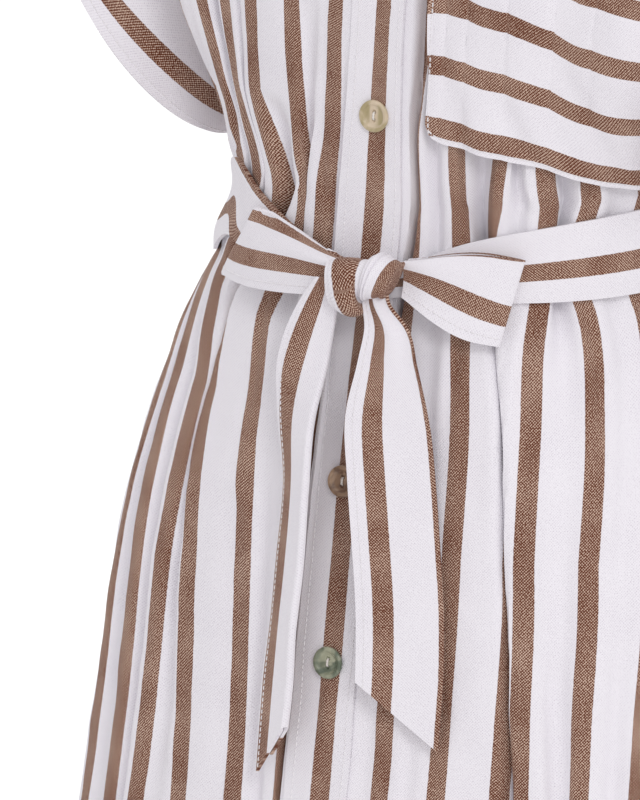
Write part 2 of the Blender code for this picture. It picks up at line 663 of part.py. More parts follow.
def make_front_left():
    levels = body_levels()
    across = np.array([columns("front_left", level) for level in levels])
    # It runs on under the placket as far as the placket's other edge.
    under = np.repeat([[PLACKET_HALF, 0.5 * PLACKET_HALF]], len(levels), axis=0)
    lap = body_points("front_left", under, levels) * np.array([-1, 1, 1])
    points = body_points("front_left", across, levels)
    points = inset(drifted(np.concatenate([lap, points], axis=1)))
    cloth_wall("front_left", points, WHITE_CLOTH, mitre=(0.0, side_mitre(levels), 0.0, SHOULDER_MITRE))


def make_back():
    levels = body_levels()
    left = np.array([columns("back_left", level) for level in levels])
    right = np.array([columns("back_right", level) for level in levels])
    left_points = body_points("back_left", left, levels)
    right_points = body_points("back_right", right, levels)
    # Seen from behind, the columns run from the wearer's left seam to the right one.
    points = np.concatenate([left_points[:, :0:-1], right_points], axis=1)
    side = side_mitre(levels)
    cloth_wall("back", inset(points), WHITE_CLOTH, mitre=(side, side, 0.0, SHOULDER_MITRE))


def laid_on_left_front(across, levels, gap=SEAM_GAP):
    """Inner and outer face of a piece that lies on the left front or across the centre front."""
    base = body_points("front_left", np.abs(across), levels)
    base[..., 0] *= np.where(across < 0, -1, 1)
    normals = grid_normals(drifted(base))
    return base + gap * normals, base + (gap + WALL) * normals


def placket_faces():
    """Inner and outer face of the placket: the fronts' rows near the centre, moved out."""
    levels = np.array(body_levels())
    levels[0] += PLACKET_FOOT
    across = np.array([-PLACKET_HALF - PLACKET_LAP, -BUTTON_RADIUS, BUTTON_RADIUS, PLACKET_HALF])
    grid = np.repeat(across[None], len(levels), axis=0)
    return laid_on_left_front(grid, levels)


def make_placket():
    inner, outer = placket_faces()
    for face in (inner, outer):
        face[-1] += PLACKET_HEAD * unit(face[-2] - face[-1])
    cloth_wall("placket", outer, WHITE_CLOTH, inner=inner)


def make_pocket():
    """The pocket: the left front's own rows and columns between its edges, moved out by a layer."""
    rows = np.array([t for t in ROWS_ABOVE if 0 < t <= POCKET_TOP_SHARE])
    inside = columns("front_left", UNDERARM)
    inside = [a for a in inside if POCKET_INNER + SEAM_GAP < a < POCKET_OUTER - SEAM_GAP]
    across = np.array([POCKET_INNER] + inside + [POCKET_OUTER])
    grid = np.repeat(across[None], len(rows), axis=0)
    faces = laid_on_left_front(grid, UNDERARM * (1 - rows), POCKET_GAP)
    # The foot slopes, so its row and the next one are read off each column between the front's rows.
    way = (across - POCKET_INNER) / (POCKET_OUTER - POCKET_INNER)
    foot = POCKET_FOOT_INNER + (POCKET_FOOT_OUTER - POCKET_FOOT_INNER) * way
    for face in faces:
        uncut = face.copy()
        for c, low in enumerate(foot):
            next_row = max(rows[1], (low + rows[2]) / 2)
            for axis in range(3):
                face[:2, c, axis] = np.interp((low, next_row), rows, uncut[:, c, axis])
    cloth_wall("pocket", faces[1], BROWN_CLOTH, inner=faces[0])


def sleeve_points(turn, along, right):
    """Sleeve from the armhole, along = 0, to its mouth, along = 1.

    turn runs from the shoulder over the front to the underarm at 180 degrees and up the back. Each line of
    the sleeve is a quadratic curve whose middle is pushed out near the shoulder.
    """
    angle = np.radians(turn)
    t = (1 + np.cos(angle)) / 2
    back = turn > 180.0
    edge = np.where(back[..., None], armhole_edge(t, True), armhole_edge(t, False))
    lean_in, lean_down = SLEEVE_MOUTH_LEAN
    mouth = np.stack([
        SLEEVE_MOUTH[0] + SLEEVE_MOUTH_HALF * np.cos(angle) * lean_in,
        -SLEEVE_MOUTH_DEPTH * np.sin(angle),
        SLEEVE_MOUTH[1] + SLEEVE_MOUTH_HALF * np.cos(angle) * lean_down,
    ], axis=-1)
    crown = SLEEVE_CROWN * np.cos(angle / 2) ** 2
    middle = (edge + mouth) / 2 + np.stack([crown, 0 * crown, SLEEVE_CROWN_RISE * crown], axis=-1)
    w = along[..., None]
    points = (1 - w) ** 2 * edge + 2 * w * (1 - w) * middle + w ** 2 * mouth
    if right:
        points = points * np.array([-1, 1, 1])
    return points


def make_sleeve(name, right):
    # Its columns start from the same points of the armhole as the rows of the body panels.
    half_turn = np.degrees(np.arccos(2 * np.array(ROWS_ABOVE[::-1]) - 1))
    turns = np.concatenate([half_turn, 360.0 - half_turn[-2:0:-1]])
    alongs = np.array(SLEEVE_ROWS)
    grid = sleeve_points(turns[None] + 0 * alongs[:, None], alongs[:, None] + 0 * turns[None], right)
    first = grid[0] + SEAM_GAP * unit(grid[1] - grid[0])
    grid = np.concatenate([first[None], grid[1:]])
    # Rows run from the mouth up to the armhole; columns run so that the outside faces out.
    grid = grid[::-1]
    if not right:
        grid = grid[:, ::-1]
    cloth_wall(name, grid, WHITE_CLOTH, closed=True, mitre=(0.0, 0.0, 0.0, ARMHOLE_MITRE))


def neck_ring(turn):
    """The neckline at degrees round from the front, with the height of its edge."""
    angle = np.radians(turn)
    front = np.cos(angle) > 0
    depth = np.where(front, NECK_FRONT_DEPTH, NECK_BACK_DEPTH)
    x = NECK_HALF_WIDTH * np.sin(angle)
    y = SHOULDER_Y - depth * np.cos(angle)
    bend = np.abs(np.cos(angle))
    z = np.where(front, -NECK_FRONT_DROP * bend ** NECK_FRONT_BEND, NECK_BACK_RISE * bend)
    return np.stack([x, y, z], axis=-1)


def stand_points(turn, rise):
    """Collar stand: rises from the neckline and leans in; its outer end laps over the inner one."""
    base = neck_ring(turn)
    angle = np.radians(turn)
    out = np.stack([np.sin(angle), -np.cos(angle), 0 * angle], axis=-1)
    lap = STAND_STEP * np.clip((turn - 180.0) / 180.0, 0.0, 1.0)
    lift = STAND_CLEAR + rise * STAND_HEIGHT
    out = out * (lap - STAND_CLEAR - rise * STAND_LEAN)[..., None]
    return base + out + np.array([0, 0, 1]) * lift[..., None]


def make_collar_stand():
    turns = np.linspace(-STAND_LAP, 360.0 + STAND_LAP, STAND_COLUMNS)
    rises = np.array([0.0, 0.5, 1.0])
    grid = stand_points(turns[None] + 0 * rises[:, None], rises[:, None] + 0 * turns[None])
    cloth_wall("collar_stand", grid, WHITE_CLOTH)


def make_collar_fall():
    front = np.linspace(FALL_SHAPE[0].turn, 90.0, 8)
    turns = np.concatenate([front, np.linspace(105.0, 255.0, 9), 360.0 - front[::-1]])
    near = np.minimum(turns, 360.0 - turns)
    out = smooth_steps(near, [row.turn for row in FALL_SHAPE], [row.out for row in FALL_SHAPE])
    drop = smooth_steps(near, [row.turn for row in FALL_SHAPE], [row.drop for row in FALL_SHAPE])
    top = stand_points(turns, np.ones_like(turns))
    angle = np.radians(turns)
    away = np.stack([np.sin(angle), -np.cos(angle), 0 * angle], axis=-1)
    grid = []
    for along in FALL_ROWS:
        step = FALL_START + (out - FALL_START) * along ** FALL_BEND
        fall = FALL_LIFT - drop * along
        grid.append(top + away * step[:, None] + np.array([0, 0, 1.0]) * fall[:, None])
    cloth_wall("collar_fall", np.array(grid)[::-1], WHITE_CLOTH)


def capped_rings(rings, count):
    """Faces of a body of rings between one point at its foot and one at its top, all facing out."""
    faces = []
    top = 1 + rings * count
    for c in range(count):
        d = (c + 1) % count
        faces.append((0, 1 + d, 1 + c))
        for r in range(rings - 1):
            a = 1 + r * count
            faces.append((a + c, a + d, a + count + d, a + count + c))
        faces.append((top - count + c, top - count + d, top))
    return faces


def turned_button(name, centre, normal):
    """A round button with a raised rim and a dished middle, its back on the cloth."""
    normal = unit(np.asarray(normal))
    side = unit(np.cross([0.0, 0.0, 1.0], normal))
    up = np.cross(normal, side)
    angles = np.linspace(0.0, 2 * np.pi, BUTTON_SIDES, endpoint=False)
    ring = np.cos(angles)[:, None] * side + np.sin(angles)[:, None] * up
    points = [centre]
    for radius, height in BUTTON_PROFILE[1:-1]:
        points.extend(centre + BUTTON_RADIUS * radius * ring + BUTTON_THICKNESS * height * normal)
    points.append(centre + BUTTON_THICKNESS * BUTTON_PROFILE[-1][1] * normal)
    faces = capped_rings(len(BUTTON_PROFILE) - 2, BUTTON_SIDES)
    new_object(name, np.array(points), faces, SHELL, 0.30)


def make_buttons():
    """Buttons down the placket, and one on the collar stand."""
    seat = placket_faces()[1][:, 1:3].mean(axis=1)
    for i in range(BUTTON_COUNT):
        height = BUTTON_TOP - i * BUTTON_SPACING
        row = np.searchsorted(seat[:, 2], height) - 1
        rise = seat[row + 1] - seat[row]
        normal = unit(np.cross([1.0, 0.0, 0.0], rise))
        point = seat[row] + rise * (height - seat[row, 2]) / rise[2]
        turned_button("button_%02d" % (i + 2), point + SEAM_GAP * normal, normal)
    turns = np.array([[356.0, 360.0, 364.0]] * 3)
    rises = np.array([[0.3] * 3, [0.5] * 3, [0.7] * 3])
    patch = stand_points(turns, rises)
    normal = grid_normals(patch)[1, 1]
    turned_button("button_01", patch[1, 1] + 2 * SEAM_GAP * normal, normal)


def belt_frame(arc, height, out):
    """Points at an arc round the waist, a height above the middle of the belt and a distance outwards."""
    ring = Ring(WAIST)
    girth = 2 * ring.half_girth
    arc = (arc + ring.half_girth) % girth - ring.half_girth
    step = 0.0005
    here = ring.points(arc)
    along = unit(ring.points(arc + step) - ring.points(arc - step))
    outward = unit(np.cross(along, [0.0, 0.0, 1.0]))
    return here + outward * np.asarray(out)[..., None] + np.array([0, 0, 1.0]) * np.asarray(height)[..., None]


def belt_out(arc):
    """Distance of the belt's inner face from the gathers: more where it passes over the placket."""
    return BELT_CLEAR + BELT_OVER_BUTTON * np.exp(-(arc / BELT_OVER_WIDTH) ** 2)


def belt_value(field, arc):
    """A column of BELT_SHAPE at arcs round the waist."""
    return smooth_steps(arc, [row.arc for row in BELT_SHAPE], [getattr(row, field) for row in BELT_SHAPE])


def make_belt_band():
    ring = Ring(WAIST)
    arcs = np.linspace(-ring.half_girth, ring.half_girth, BELT_COLUMNS, endpoint=False)
    v = np.array([-1.0, 0.0, 1.0])[:, None]
    arc = arcs[None] + 0 * v
    heights = belt_value("rise", arc) + v * belt_value("half", arc)
    grid = belt_frame(arc, heights, belt_out(arc) + BELT_WALL + BELT_CROWN * (1 - v ** 2))
    cloth_wall("belt_band", grid, WHITE_CLOTH, thickness=BELT_WALL, closed=True)


def make_belt_knot():
    """The knot: a squat round body with three gathers across it."""
    arc = np.array([KNOT_ACROSS])
    centre = belt_frame(arc, np.full(1, KNOT_RISE), belt_out(arc) + KNOT_OUT)[0]
    turns = np.linspace(0.0, 2 * np.pi, KNOT_SIDES, endpoint=False)
    across, deep, high = KNOT_HALF
    points = [centre - np.array([0, 0, high])]
    for tilt in np.linspace(-np.pi / 2, np.pi / 2, KNOT_ROWS + 2)[1:-1]:
        wide = np.cos(tilt) ** KNOT_BLUNT * (1 - KNOT_GATHER * np.cos(3 * turns + 1.5 * tilt))
        x = signed_power(np.sin(turns), KNOT_SQUARE) * wide * across
        y = -signed_power(np.cos(turns), KNOT_SQUARE) * wide * deep
        z = np.sin(tilt) * high + 0 * turns
        points.extend(centre + np.stack([x, y, z], axis=-1))
    points.append(centre + np.array([0, 0, high]))
    new_object("belt_knot", np.array(points), capped_rings(KNOT_ROWS, KNOT_SIDES), WHITE_CLOTH)


def make_loop(loop):
    """A bow loop: the belt runs out from the knot, turns, and comes back behind itself."""
    rows = []
    layout = [(share, out) for share, out in LOOP_FRONT] + [(1.0, LOOP_TIP)] + [(s, o) for s, o in LOOP_BACK]
    for share, out in layout:
        opened = np.sin(min(share / loop.opens, 1.0) * np.pi / 2) ** LOOP_OPENING
        height = loop.throat + (loop.height - loop.throat) * opened
        rise = loop.rise_in + (loop.rise_out - loop.rise_in) * share
        rows.append((share, out, height, rise))
    grid = []
    for v in (-0.5, 0.0, 0.5):
        line = []
        for share, out, height, rise in rows:
            reach = loop.start + share * (loop.reach - loop.start)
            reach += loop.side * loop.lean * v * height * share
            arc = np.array([KNOT_ACROSS + loop.side * reach])
            away = belt_out(arc) - BELT_CLEAR + out
            line.append(belt_frame(arc, np.array([rise + v * height]), away)[0])
        grid.append(line)
    grid = np.array(grid)
    if loop.side < 0:
        grid = grid[:, ::-1]
    cloth_wall(loop.name, grid, WHITE_CLOTH, thickness=BELT_END_WALL)


def make_tail(name, rows, long_side):
    """A free end of the belt: hangs from under the knot, turned as it falls, with a slanted end."""
    shares = np.array([-0.5, 0.0, 0.5])
    grid = []
    for row in reversed(rows):
        turn = np.radians(row.turn)
        way = np.array([np.cos(turn), np.sin(turn), 0.0])
        grid.append(np.array([row.x, row.y, row.z]) + way * row.width * shares[:, None])
    grid = np.array(grid)
    grid[0, :, 2] -= TAIL_POINT_DROP * (0.5 + shares * long_side)
    cloth_wall(name, grid, WHITE_CLOTH, thickness=BELT_END_WALL)


def main():
    for old in list(bpy.data.objects):
        bpy.data.objects.remove(old, do_unlink=True)
    make_front_right()
    make_front_left()
    make_back()
    make_placket()
    make_pocket()
    make_sleeve("sleeve_right", True)
    make_sleeve("sleeve_left", False)
    make_collar_stand()
    make_collar_fall()
    make_buttons()
    make_belt_band()
    make_belt_knot()
    for loop in LOOPS:
        make_loop(loop)
    make_tail("tail_right", TAIL_RIGHT, -1)
    make_tail("tail_left", TAIL_LEFT, 1)


main()
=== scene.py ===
"""Striped shirt dress with a tied belt: the finish of every piece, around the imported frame.

Metres, +Z up. The front faces -Y and the wearer's left is +X. Each cloth piece is a surface worked out from
two measures on the cloth: how far it lies across, from the centre front or back, and its level, from 0 at
the neckline to -1.06 at the hem. Folds take up the cloth that the worn form has no room for.
"""

from collections import namedtuple

import bpy
import numpy as np
from bpy.props import FloatProperty, FloatVectorProperty, PointerProperty
from bpy.types import Operator, Panel, PropertyGroup
from mathutils import Matrix, Vector


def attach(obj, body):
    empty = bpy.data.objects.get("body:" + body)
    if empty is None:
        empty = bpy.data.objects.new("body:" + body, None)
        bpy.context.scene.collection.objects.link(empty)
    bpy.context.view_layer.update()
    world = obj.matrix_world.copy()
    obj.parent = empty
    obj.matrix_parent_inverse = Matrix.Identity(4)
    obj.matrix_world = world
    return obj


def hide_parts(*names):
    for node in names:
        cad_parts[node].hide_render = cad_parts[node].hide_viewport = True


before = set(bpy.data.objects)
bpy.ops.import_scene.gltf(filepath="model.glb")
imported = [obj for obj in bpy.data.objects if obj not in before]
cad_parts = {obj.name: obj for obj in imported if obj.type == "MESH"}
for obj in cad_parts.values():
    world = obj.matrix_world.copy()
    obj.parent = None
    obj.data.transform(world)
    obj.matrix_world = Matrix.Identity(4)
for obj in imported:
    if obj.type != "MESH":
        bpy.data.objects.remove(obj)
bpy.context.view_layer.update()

bl_info = {
    "name": "Striped Shirt Dress",
    "version": (1, 0, 0),
    "blender": (4, 5, 0),
    "location": "3D View > Sidebar > Dress",
    "description": "Makes a worn striped shirt dress with a tied belt, piece by piece",
    "category": "Add Mesh",
}

# ---------------------------------------------------------------- sizes of the cut and of the worn form

# Metres, unless a comment says otherwise.
WALL = 0.0016            # thickness of one layer of cloth, with its creases' loft
SEAM_GAP = 0.0003        # clearance between two pieces that are sewn together
PANEL_WIDTH = 0.264      # side seam from the centre front or the centre back, on the cloth
UNDERARM = -0.392        # levels
WAIST = -0.425
HEM = -1.060
WAIST_TILT = 0.030       # the waist sits this much higher at the back than at the front
TILT_FROM = -0.800
TILT_POWER = 0.7
DEEPEST_FOLD = 0.95      # of its half width
FOLD_LENGTH = 1.234      # a trough of depth d over a half width h takes up FOLD_LENGTH * d * d / h
FOLD_POWER = 9           # how evenly a fold shortens the cloth over its width

NECK_HALF_WIDTH = 0.072
NECK_FRONT_DEPTH = 0.068
NECK_BACK_DEPTH = 0.066
NECK_FRONT_DROP = 0.070
NECK_BACK_RISE = 0.012
NECK_FRONT_BEND = 1.3
SHOULDER_Y = 0.004
SHOULDER_POINT = (0.205, -0.075)     # x and z of the end of the shoulder seam
SHOULDER_CLOTH = 0.235               # across, at the end of the shoulder seam
NARROWING_FROM = 0.200
ARMHOLE_FOOT_X = 0.126
ARMHOLE_HALF_DEPTH = 0.047
ARMHOLE_FLARE = 1.35
ARMHOLE_POINTED = 0.8
ARMHOLE_ROUNDED = 2.5

NECK_CORNER_SPREAD = 0.30            # how widely the corner of neck and shoulder evens out lower down
NECK_CORNER_FIRM = (0.72, 0.28)      # from this share of the height on, over this share, it grows sharp
SLEEVE_MOUTH = (0.181, -0.327)       # x and z of the middle of the sleeve's mouth
SLEEVE_MOUTH_HALF = 0.078
SLEEVE_MOUTH_LEAN = (0.637, 0.771)
SLEEVE_MOUTH_DEPTH = 0.065
SLEEVE_CROWN = 0.036
SLEEVE_SEAM = 0.013                  # its hem stitches, from its mouth
SLEEVE_CROWN_RISE = 0.3

PLACKET_HALF = 0.0165
PLACKET_SEAM = 0.0030                # its stitches, from its edges
HEM_TURN = 0.020                     # the hem's stitches, from its foot
HEM_STITCH_START = 0.004             # and from the placket's edge
PLACKET_LAP = 0.0015                 # the placket lies this far over the right front
FRONTS_GAP = 0.0007
BUTTON_SPACING = 0.0910
BUTTON_TOP = -0.1665
BUTTON_COUNT = 9
BUTTON_RADIUS = 0.0081
BUTTON_THICKNESS = 0.0026
POCKET_INNER = 0.0410                # across, at the pocket's edge nearest the placket
POCKET_OUTER = 0.1860
POCKET_TOP_SHARE = 0.545             # heights as shares of the way from the underarm to the neckline
POCKET_FOOT = ((0.0, 0.1013), (0.23, 0.0787), (0.42, 0.059), (0.68, 0.019), (1.0, 0.0))   # by its width
POCKET_EASE = 0.94                   # the pocket hangs a little slack, so its stripes lie further apart
POCKET_ARC = 0.0330                  # where its inner edge lies, round the body from the centre front
POCKET_LIFT = 0.0034                 # off the crests of the folds under it
POCKET_RUMPLE = 0.5                  # of a panel's rumples
POCKET_SINK = -0.0028                # it sinks no further between the folds
POCKET_SEED = 5

STAND_HEIGHT = 0.028
STAND_LEAN = 0.006
STAND_CLEAR = 0.0014
STAND_LAP = 10.0                     # degrees
STAND_STEP = 0.0024
FALL_START = 0.0042
FALL_LIFT = 0.0012
FALL_BEND = 0.8

BELT_WIDTH = 0.044
BELT_WALL = 0.0020
BELT_END_WALL = 0.0018
BELT_CROWN = 0.0006
BELT_CLEAR = 0.0008
BELT_OVER_BUTTON = 0.0060
BELT_OVER_WIDTH = 0.024
KNOT_ACROSS = 0.0135
KNOT_OUT = 0.0135

# The belt narrows into the knot: arc from the centre front, height of its middle, half of its height.
Band = namedtuple("Band", "arc rise half")
BELT_SHAPE = (
    Band(-0.345, -0.0080, 0.0215),
    Band(-0.180, -0.0080, 0.0210),
    Band(-0.125, -0.0060, 0.0200),
    Band(-0.098, 0.0100, 0.0195),
    Band(-0.070, 0.0050, 0.0180),
    Band(-0.045, -0.0010, 0.0150),
    Band(-0.015, -0.0050, 0.0100),
    Band(0.0135, -0.0040, 0.0090),
    Band(0.032, -0.0020, 0.0095),
    Band(0.052, 0.0010, 0.0140),
    Band(0.090, 0.0037, 0.0183),
    Band(0.145, 0.0035, 0.0210),
    Band(0.220, -0.0040, 0.0215),
    Band(0.345, -0.0080, 0.0215),
)

# The form at a level. front_share is the part of the girth from the centre front to a side seam, and flare is
# what a panel gains there.
Level = namedtuple("Level", "z half_width front_depth back_depth roundness front_share flare")
LEVELS = (
    Level(-1.060, 0.2040, 0.118, 0.140, 2.20, 0.252, 0.036),
    Level(-0.850, 0.1870, 0.107, 0.134, 2.20, 0.255, 0.022),
    Level(-0.728, 0.1760, 0.101, 0.130, 2.20, 0.257, 0.013),
    Level(-0.650, 0.1710, 0.099, 0.127, 2.20, 0.260, 0.008),
    Level(-0.580, 0.1640, 0.098, 0.122, 2.20, 0.265, 0.004),
    Level(-0.530, 0.1520, 0.097, 0.113, 2.15, 0.270, 0.002),
    Level(-0.490, 0.1385, 0.095, 0.102, 2.10, 0.275, 0.000),
    Level(-0.464, 0.1270, 0.093, 0.093, 2.10, 0.280, 0.000),
    Level(-0.449, 0.1200, 0.092, 0.088, 2.10, 0.285, 0.000),
    Level(-0.425, 0.1200, 0.092, 0.088, 2.10, 0.285, 0.000),
    Level(-0.401, 0.1200, 0.092, 0.088, 2.10, 0.285, 0.000),
    Level(-0.392, 0.1206, 0.0922, 0.0883, 2.10, 0.280, 0.000),
)

# Large folds of the fronts. place is given low down, under the belt and over it, half low down and at the
# waist, and then comes the cloth that the fold takes up at each level; it is gone at the last level. lean
# says how far the fold lies over as a flat pleat: outwards with 1, towards the centre front with -1.
FOLD_LEVELS = (-1.060, -0.700, -0.590, -0.500, -0.455, -0.425, -0.392, -0.350, -0.300, -0.170)
PLACE_LEVELS = (-0.700, -0.455, -0.392)
HALF_LEVELS = (-0.600, -0.425)
PLEAT_SLIDE = 0.38                   # of the cloth taken up, how far a leaning fold's floor slides
PLEAT_DEPTH = 0.60                   # of the depth of an upright fold
Fold = namedtuple("Fold", "places halves lean takes")
LEFT_FOLDS = (
    Fold((.0260, .0250, .0306), (.0080, .0096), .0, (0, 0, .002, .007, .013, .012, .013, .013, .007, 0)),
    Fold((.0510, .0510, .0510), (.0090, .0090), .0, (0, .001, .002, .001, .001, .004, .006, .005, .003, 0)),
    Fold((.1175, .0970, .0850), (.0165, .0180), .8, (.018, .023, .028, .030, .028, .024, .017, .006, .003, 0)),
    Fold((.1400, .1250, .1165), (.0030, .0080), .0, (0, 0, 0, 0, 0, 0, .004, .009, .006, 0)),
    Fold((.1555, .1510, .1490), (.0105, .0125), .0, (.004, .004, .002, .001, .005, .018, .012, .006, .004, 0)),
    Fold((.1860, .1840, .1840), (.0100, .0100), .0, (.002, .003, .001, .001, .001, .001, .001, .001, .001, 0)),
)
RIGHT_FOLDS = (
    Fold((.0285, .0245, .0235), (.0080, .0055), .0, (.008, .0115, .010, .007, .005, .004, .004, .002, 0, 0)),
    Fold((.0500, .0525, .0530), (.0090, .0120), .0, (.004, .005, .0025, 0, .002, .018, .021, .007, .001, 0)),
    Fold((.1165, .1020, .0840), (.0125, .0150), -.6, (.001, .002, .013, .024, .018, .016, .015, 0, 0, 0)),
    Fold((.1400, .1250, .1145), (.0060, .0080), .0, (0, 0, 0, 0, 0, .004, .0145, .011, .004, 0)),
    Fold((.1500, .1480, .1470), (.0120, .0110), .0, (.006, .0085, .008, .005, .003, .008, .0145, .013, .01, 0)),
    Fold((.1800, .1800, .1800), (.0130, .0110), .0, (.004, .004, .008, .014, .010, .004, 0, 0, 0, 0)),
)

# The centre front hangs a little towards the wearer's left of the middle, more the nearer it is.
CENTRE_DRIFT = 0.0045
DRIFT_REACH = 0.090
DRIFT_TOP = (-0.200, -0.070)         # between these heights it dies out

# The belt pinches the waist at the wearer's right: how far in, at what height, and from where outwards.
PINCH = 0.0082
PINCH_HEIGHT = -0.405
PINCH_HALF = 0.028
PINCH_FROM = 0.062
PINCH_OVER = 0.045

# Gathers share what is left over.
GATHER_DRIFT_HEIGHT = 0.250
GATHER_FADE = ((UNDERARM, 1.0), (-0.300, 0.75), (-0.120, 0.0))
EDGE_GATHER_FADE = ((UNDERARM, 1.0), (-0.340, 0.35), (-0.280, 0.0))
# Place and half width across, and the weight of its share above the waist and low down.
Gather = namedtuple("Gather", "place half share_high share_low")
FRONT_GATHERS = (
    Gather(0.2195, 0.0095, 1.0, 1.0),
    Gather(0.2435, 0.0095, 0.9, 0.4),
)
BACK_GATHERS_LEFT = (
    Gather(0.019, 0.0130, 1.0, 1.5),
    Gather(0.053, 0.0130, 0.9, 0.3),
    Gather(0.087, 0.0130, 1.1, 1.6),
    Gather(0.121, 0.0130, 0.9, 0.3),
    Gather(0.155, 0.0130, 1.0, 1.4),
    Gather(0.186, 0.0130, 1.0, 0.4),
    Gather(0.228, 0.0130, 1.2, 1.1),
)
BACK_GATHERS_RIGHT = (
    Gather(0.022, 0.0130, 1.0, 0.4),
    Gather(0.056, 0.0130, 1.1, 1.7),
    Gather(0.090, 0.0130, 0.9, 0.3),
    Gather(0.124, 0.0130, 1.0, 1.5),
    Gather(0.155, 0.0130, 0.9, 0.4),
    Gather(0.186, 0.0130, 1.1, 1.3),
    Gather(0.230, 0.0130, 1.1, 0.7),
)

# Swellings of the upper panels, in shares of their width and height, and how far out they stand.
Swell = namedtuple("Swell", "place half peak low high height")
SWELL_LEAN = 0.85
FRONT_SWELLS = (
    Swell(0.74, 0.26, 0.22, 0.22, 0.40, 0.018),
    Swell(0.45, 0.50, 0.40, 0.40, 0.45, 0.012),
    Swell(0.56, 0.44, 0.80, 0.40, 0.20, 0.024),
)
BACK_SWELLS = (
    Swell(0.74, 0.26, 0.22, 0.22, 0.40, 0.015),
    Swell(0.42, 0.50, 0.52, 0.50, 0.45, 0.010),
    Swell(0.56, 0.44, 0.80, 0.40, 0.20, 0.024),
)
CENTRE_FRONT = ((-0.392, -0.0935), (-0.330, -0.0965), (-0.250, -0.0980), (-0.150, -0.0880), (-0.070, -0.0640))
CENTRE_BACK = ((-0.362, 0.0910), (-0.300, 0.0990), (-0.200, 0.1060), (-0.100, 0.0980), (0.012, 0.0700))

# Edge of the collar's fall: degrees from the centre front, how far out and how far down it lies.
Fall = namedtuple("Fall", "turn out drop")
FALL_SHAPE = (
    Fall(7.0, 0.027, 0.062),
    Fall(20.0, 0.030, 0.058),
    Fall(50.0, 0.026, 0.044),
    Fall(90.0, 0.030, 0.032),
    Fall(130.0, 0.026, 0.036),
    Fall(180.0, 0.022, 0.040),
)

# A loop of the bow: its side, its start and end from the knot, its height there, its lean, how far its middle
# rises at the knot and at its end, and the share of its length where it has opened.
Loop = namedtuple("Loop", "name side start reach throat height lean rise_in rise_out opens")
LOOPS = (
    Loop("loop_right", -1, 0.0150, 0.0875, 0.0165, 0.0405, 0.60, -0.0035, -0.0044, 1.0),
    Loop("loop_left", 1, 0.0150, 0.0655, 0.0180, 0.0425, 0.20, -0.0015, -0.0133, 0.78),
)
# Share of its length and distance from the band, out along its near layer and back along its far one.
LOOP_FRONT = ((0.0, 0.0118), (0.25, 0.0140), (0.60, 0.0135), (0.88, 0.0110))
LOOP_BACK = ((0.88, 0.0047), (0.55, 0.0040), (0.25, 0.0044), (0.0, 0.0058))
LOOP_TIP = 0.0080
LOOP_OPENING = 1.1
LOOP_SQUEEZE = 0.33                  # how far the cloth of a loop is pushed upwards where the knot holds it
LOOP_HOLD = 1.3                      # how fast that dies out along the loop
LOOP_PLEAT = 0.0012
LOOP_PLEAT_WAVES = (7.5, 0.8)        # of the pleats near the knot: turn over the belt's width, and start
LOOP_CLOSE = 0.0075                  # the near layer of the right loop leans back this far at its top edge
LOOP_BEHIND = -0.0010                # the far layer of the right loop stands this much higher
LOOP_END = 0.46                      # of the way round a loop, where its near layer ends
LOOP_NEAR_FADE = 0.12
LOOP_FAR_FADE = 0.10

# A belt end: height, place, turn in degrees and width.
Tail = namedtuple("Tail", "z x y turn width")
TAIL_RIGHT = (
    Tail(-0.4287, -0.0071, -0.1128, 10.0, 0.0145),
    Tail(-0.4407, -0.0092, -0.1136, 5.0, 0.0310),
    Tail(-0.4550, -0.0126, -0.1138, 6.0, 0.0400),
    Tail(-0.4680, -0.0148, -0.1140, 4.0, 0.044),
    Tail(-0.4980, -0.0168, -0.1160, -22.0, 0.044),
    Tail(-0.5310, -0.0145, -0.1165, -38.0, 0.044),
    Tail(-0.5730, -0.0144, -0.1165, -36.0, 0.044),
    Tail(-0.6040, -0.0154, -0.1165, -38.0, 0.044),
    Tail(-0.6355, -0.0157, -0.1165, -33.0, 0.044),
    Tail(-0.6520, -0.0160, -0.1165, -32.0, 0.040),
)
TAIL_LEFT = (
    Tail(-0.4320, 0.0190, -0.1105, 6.0, 0.0115),
    Tail(-0.4377, 0.0203, -0.1105, 8.0, 0.013),
    Tail(-0.4478, 0.0268, -0.1105, 12.0, 0.0205),
    Tail(-0.4660, 0.0290, -0.1095, 16.0, 0.029),
    Tail(-0.4950, 0.0315, -0.1090, 18.0, 0.042),
    Tail(-0.5250, 0.0360, -0.1080, 20.0, 0.044),
    Tail(-0.5550, 0.0405, -0.1070, 20.0, 0.044),
    Tail(-0.5870, 0.0450, -0.1060, 19.0, 0.044),
    Tail(-0.6190, 0.0475, -0.1055, 18.0, 0.044),
    Tail(-0.6260, 0.0478, -0.1053, 18.0, 0.044),
)
# Of each end: the share of its width where it is folded back, and the middle of its stripe from the edge at
# the wearer's right, near the knot and from TAIL_STRIPE_FALL lower on, and the column that its stitches follow.
TAIL_LAYS = {"tail_right": (0.62, 0.0108, 0.0064, 3), "tail_left": (1.0, 0.0150, 0.0138, 4)}
TAIL_FACING = 4                      # the column whose way out the stitches take
TAIL_FOLD_DEEP = 0.0042              # how far the folded part lies behind
TAIL_FOLD_ROUND = 0.0003             # roundness of the fold, and how fast the cloth goes behind, both by width
TAIL_FOLD_OVER = 0.08
TAIL_STRIPE_FALL = 0.100
TAIL_PLEAT = 0.0013                  # depth of the pleats that run down from the knot
TAIL_PLEAT_FALL = 0.060
TAIL_PLEAT_WAVES = (9.0, 1.2)        # their turn over the width, and their start
TAIL_POINT_DROP = 0.030

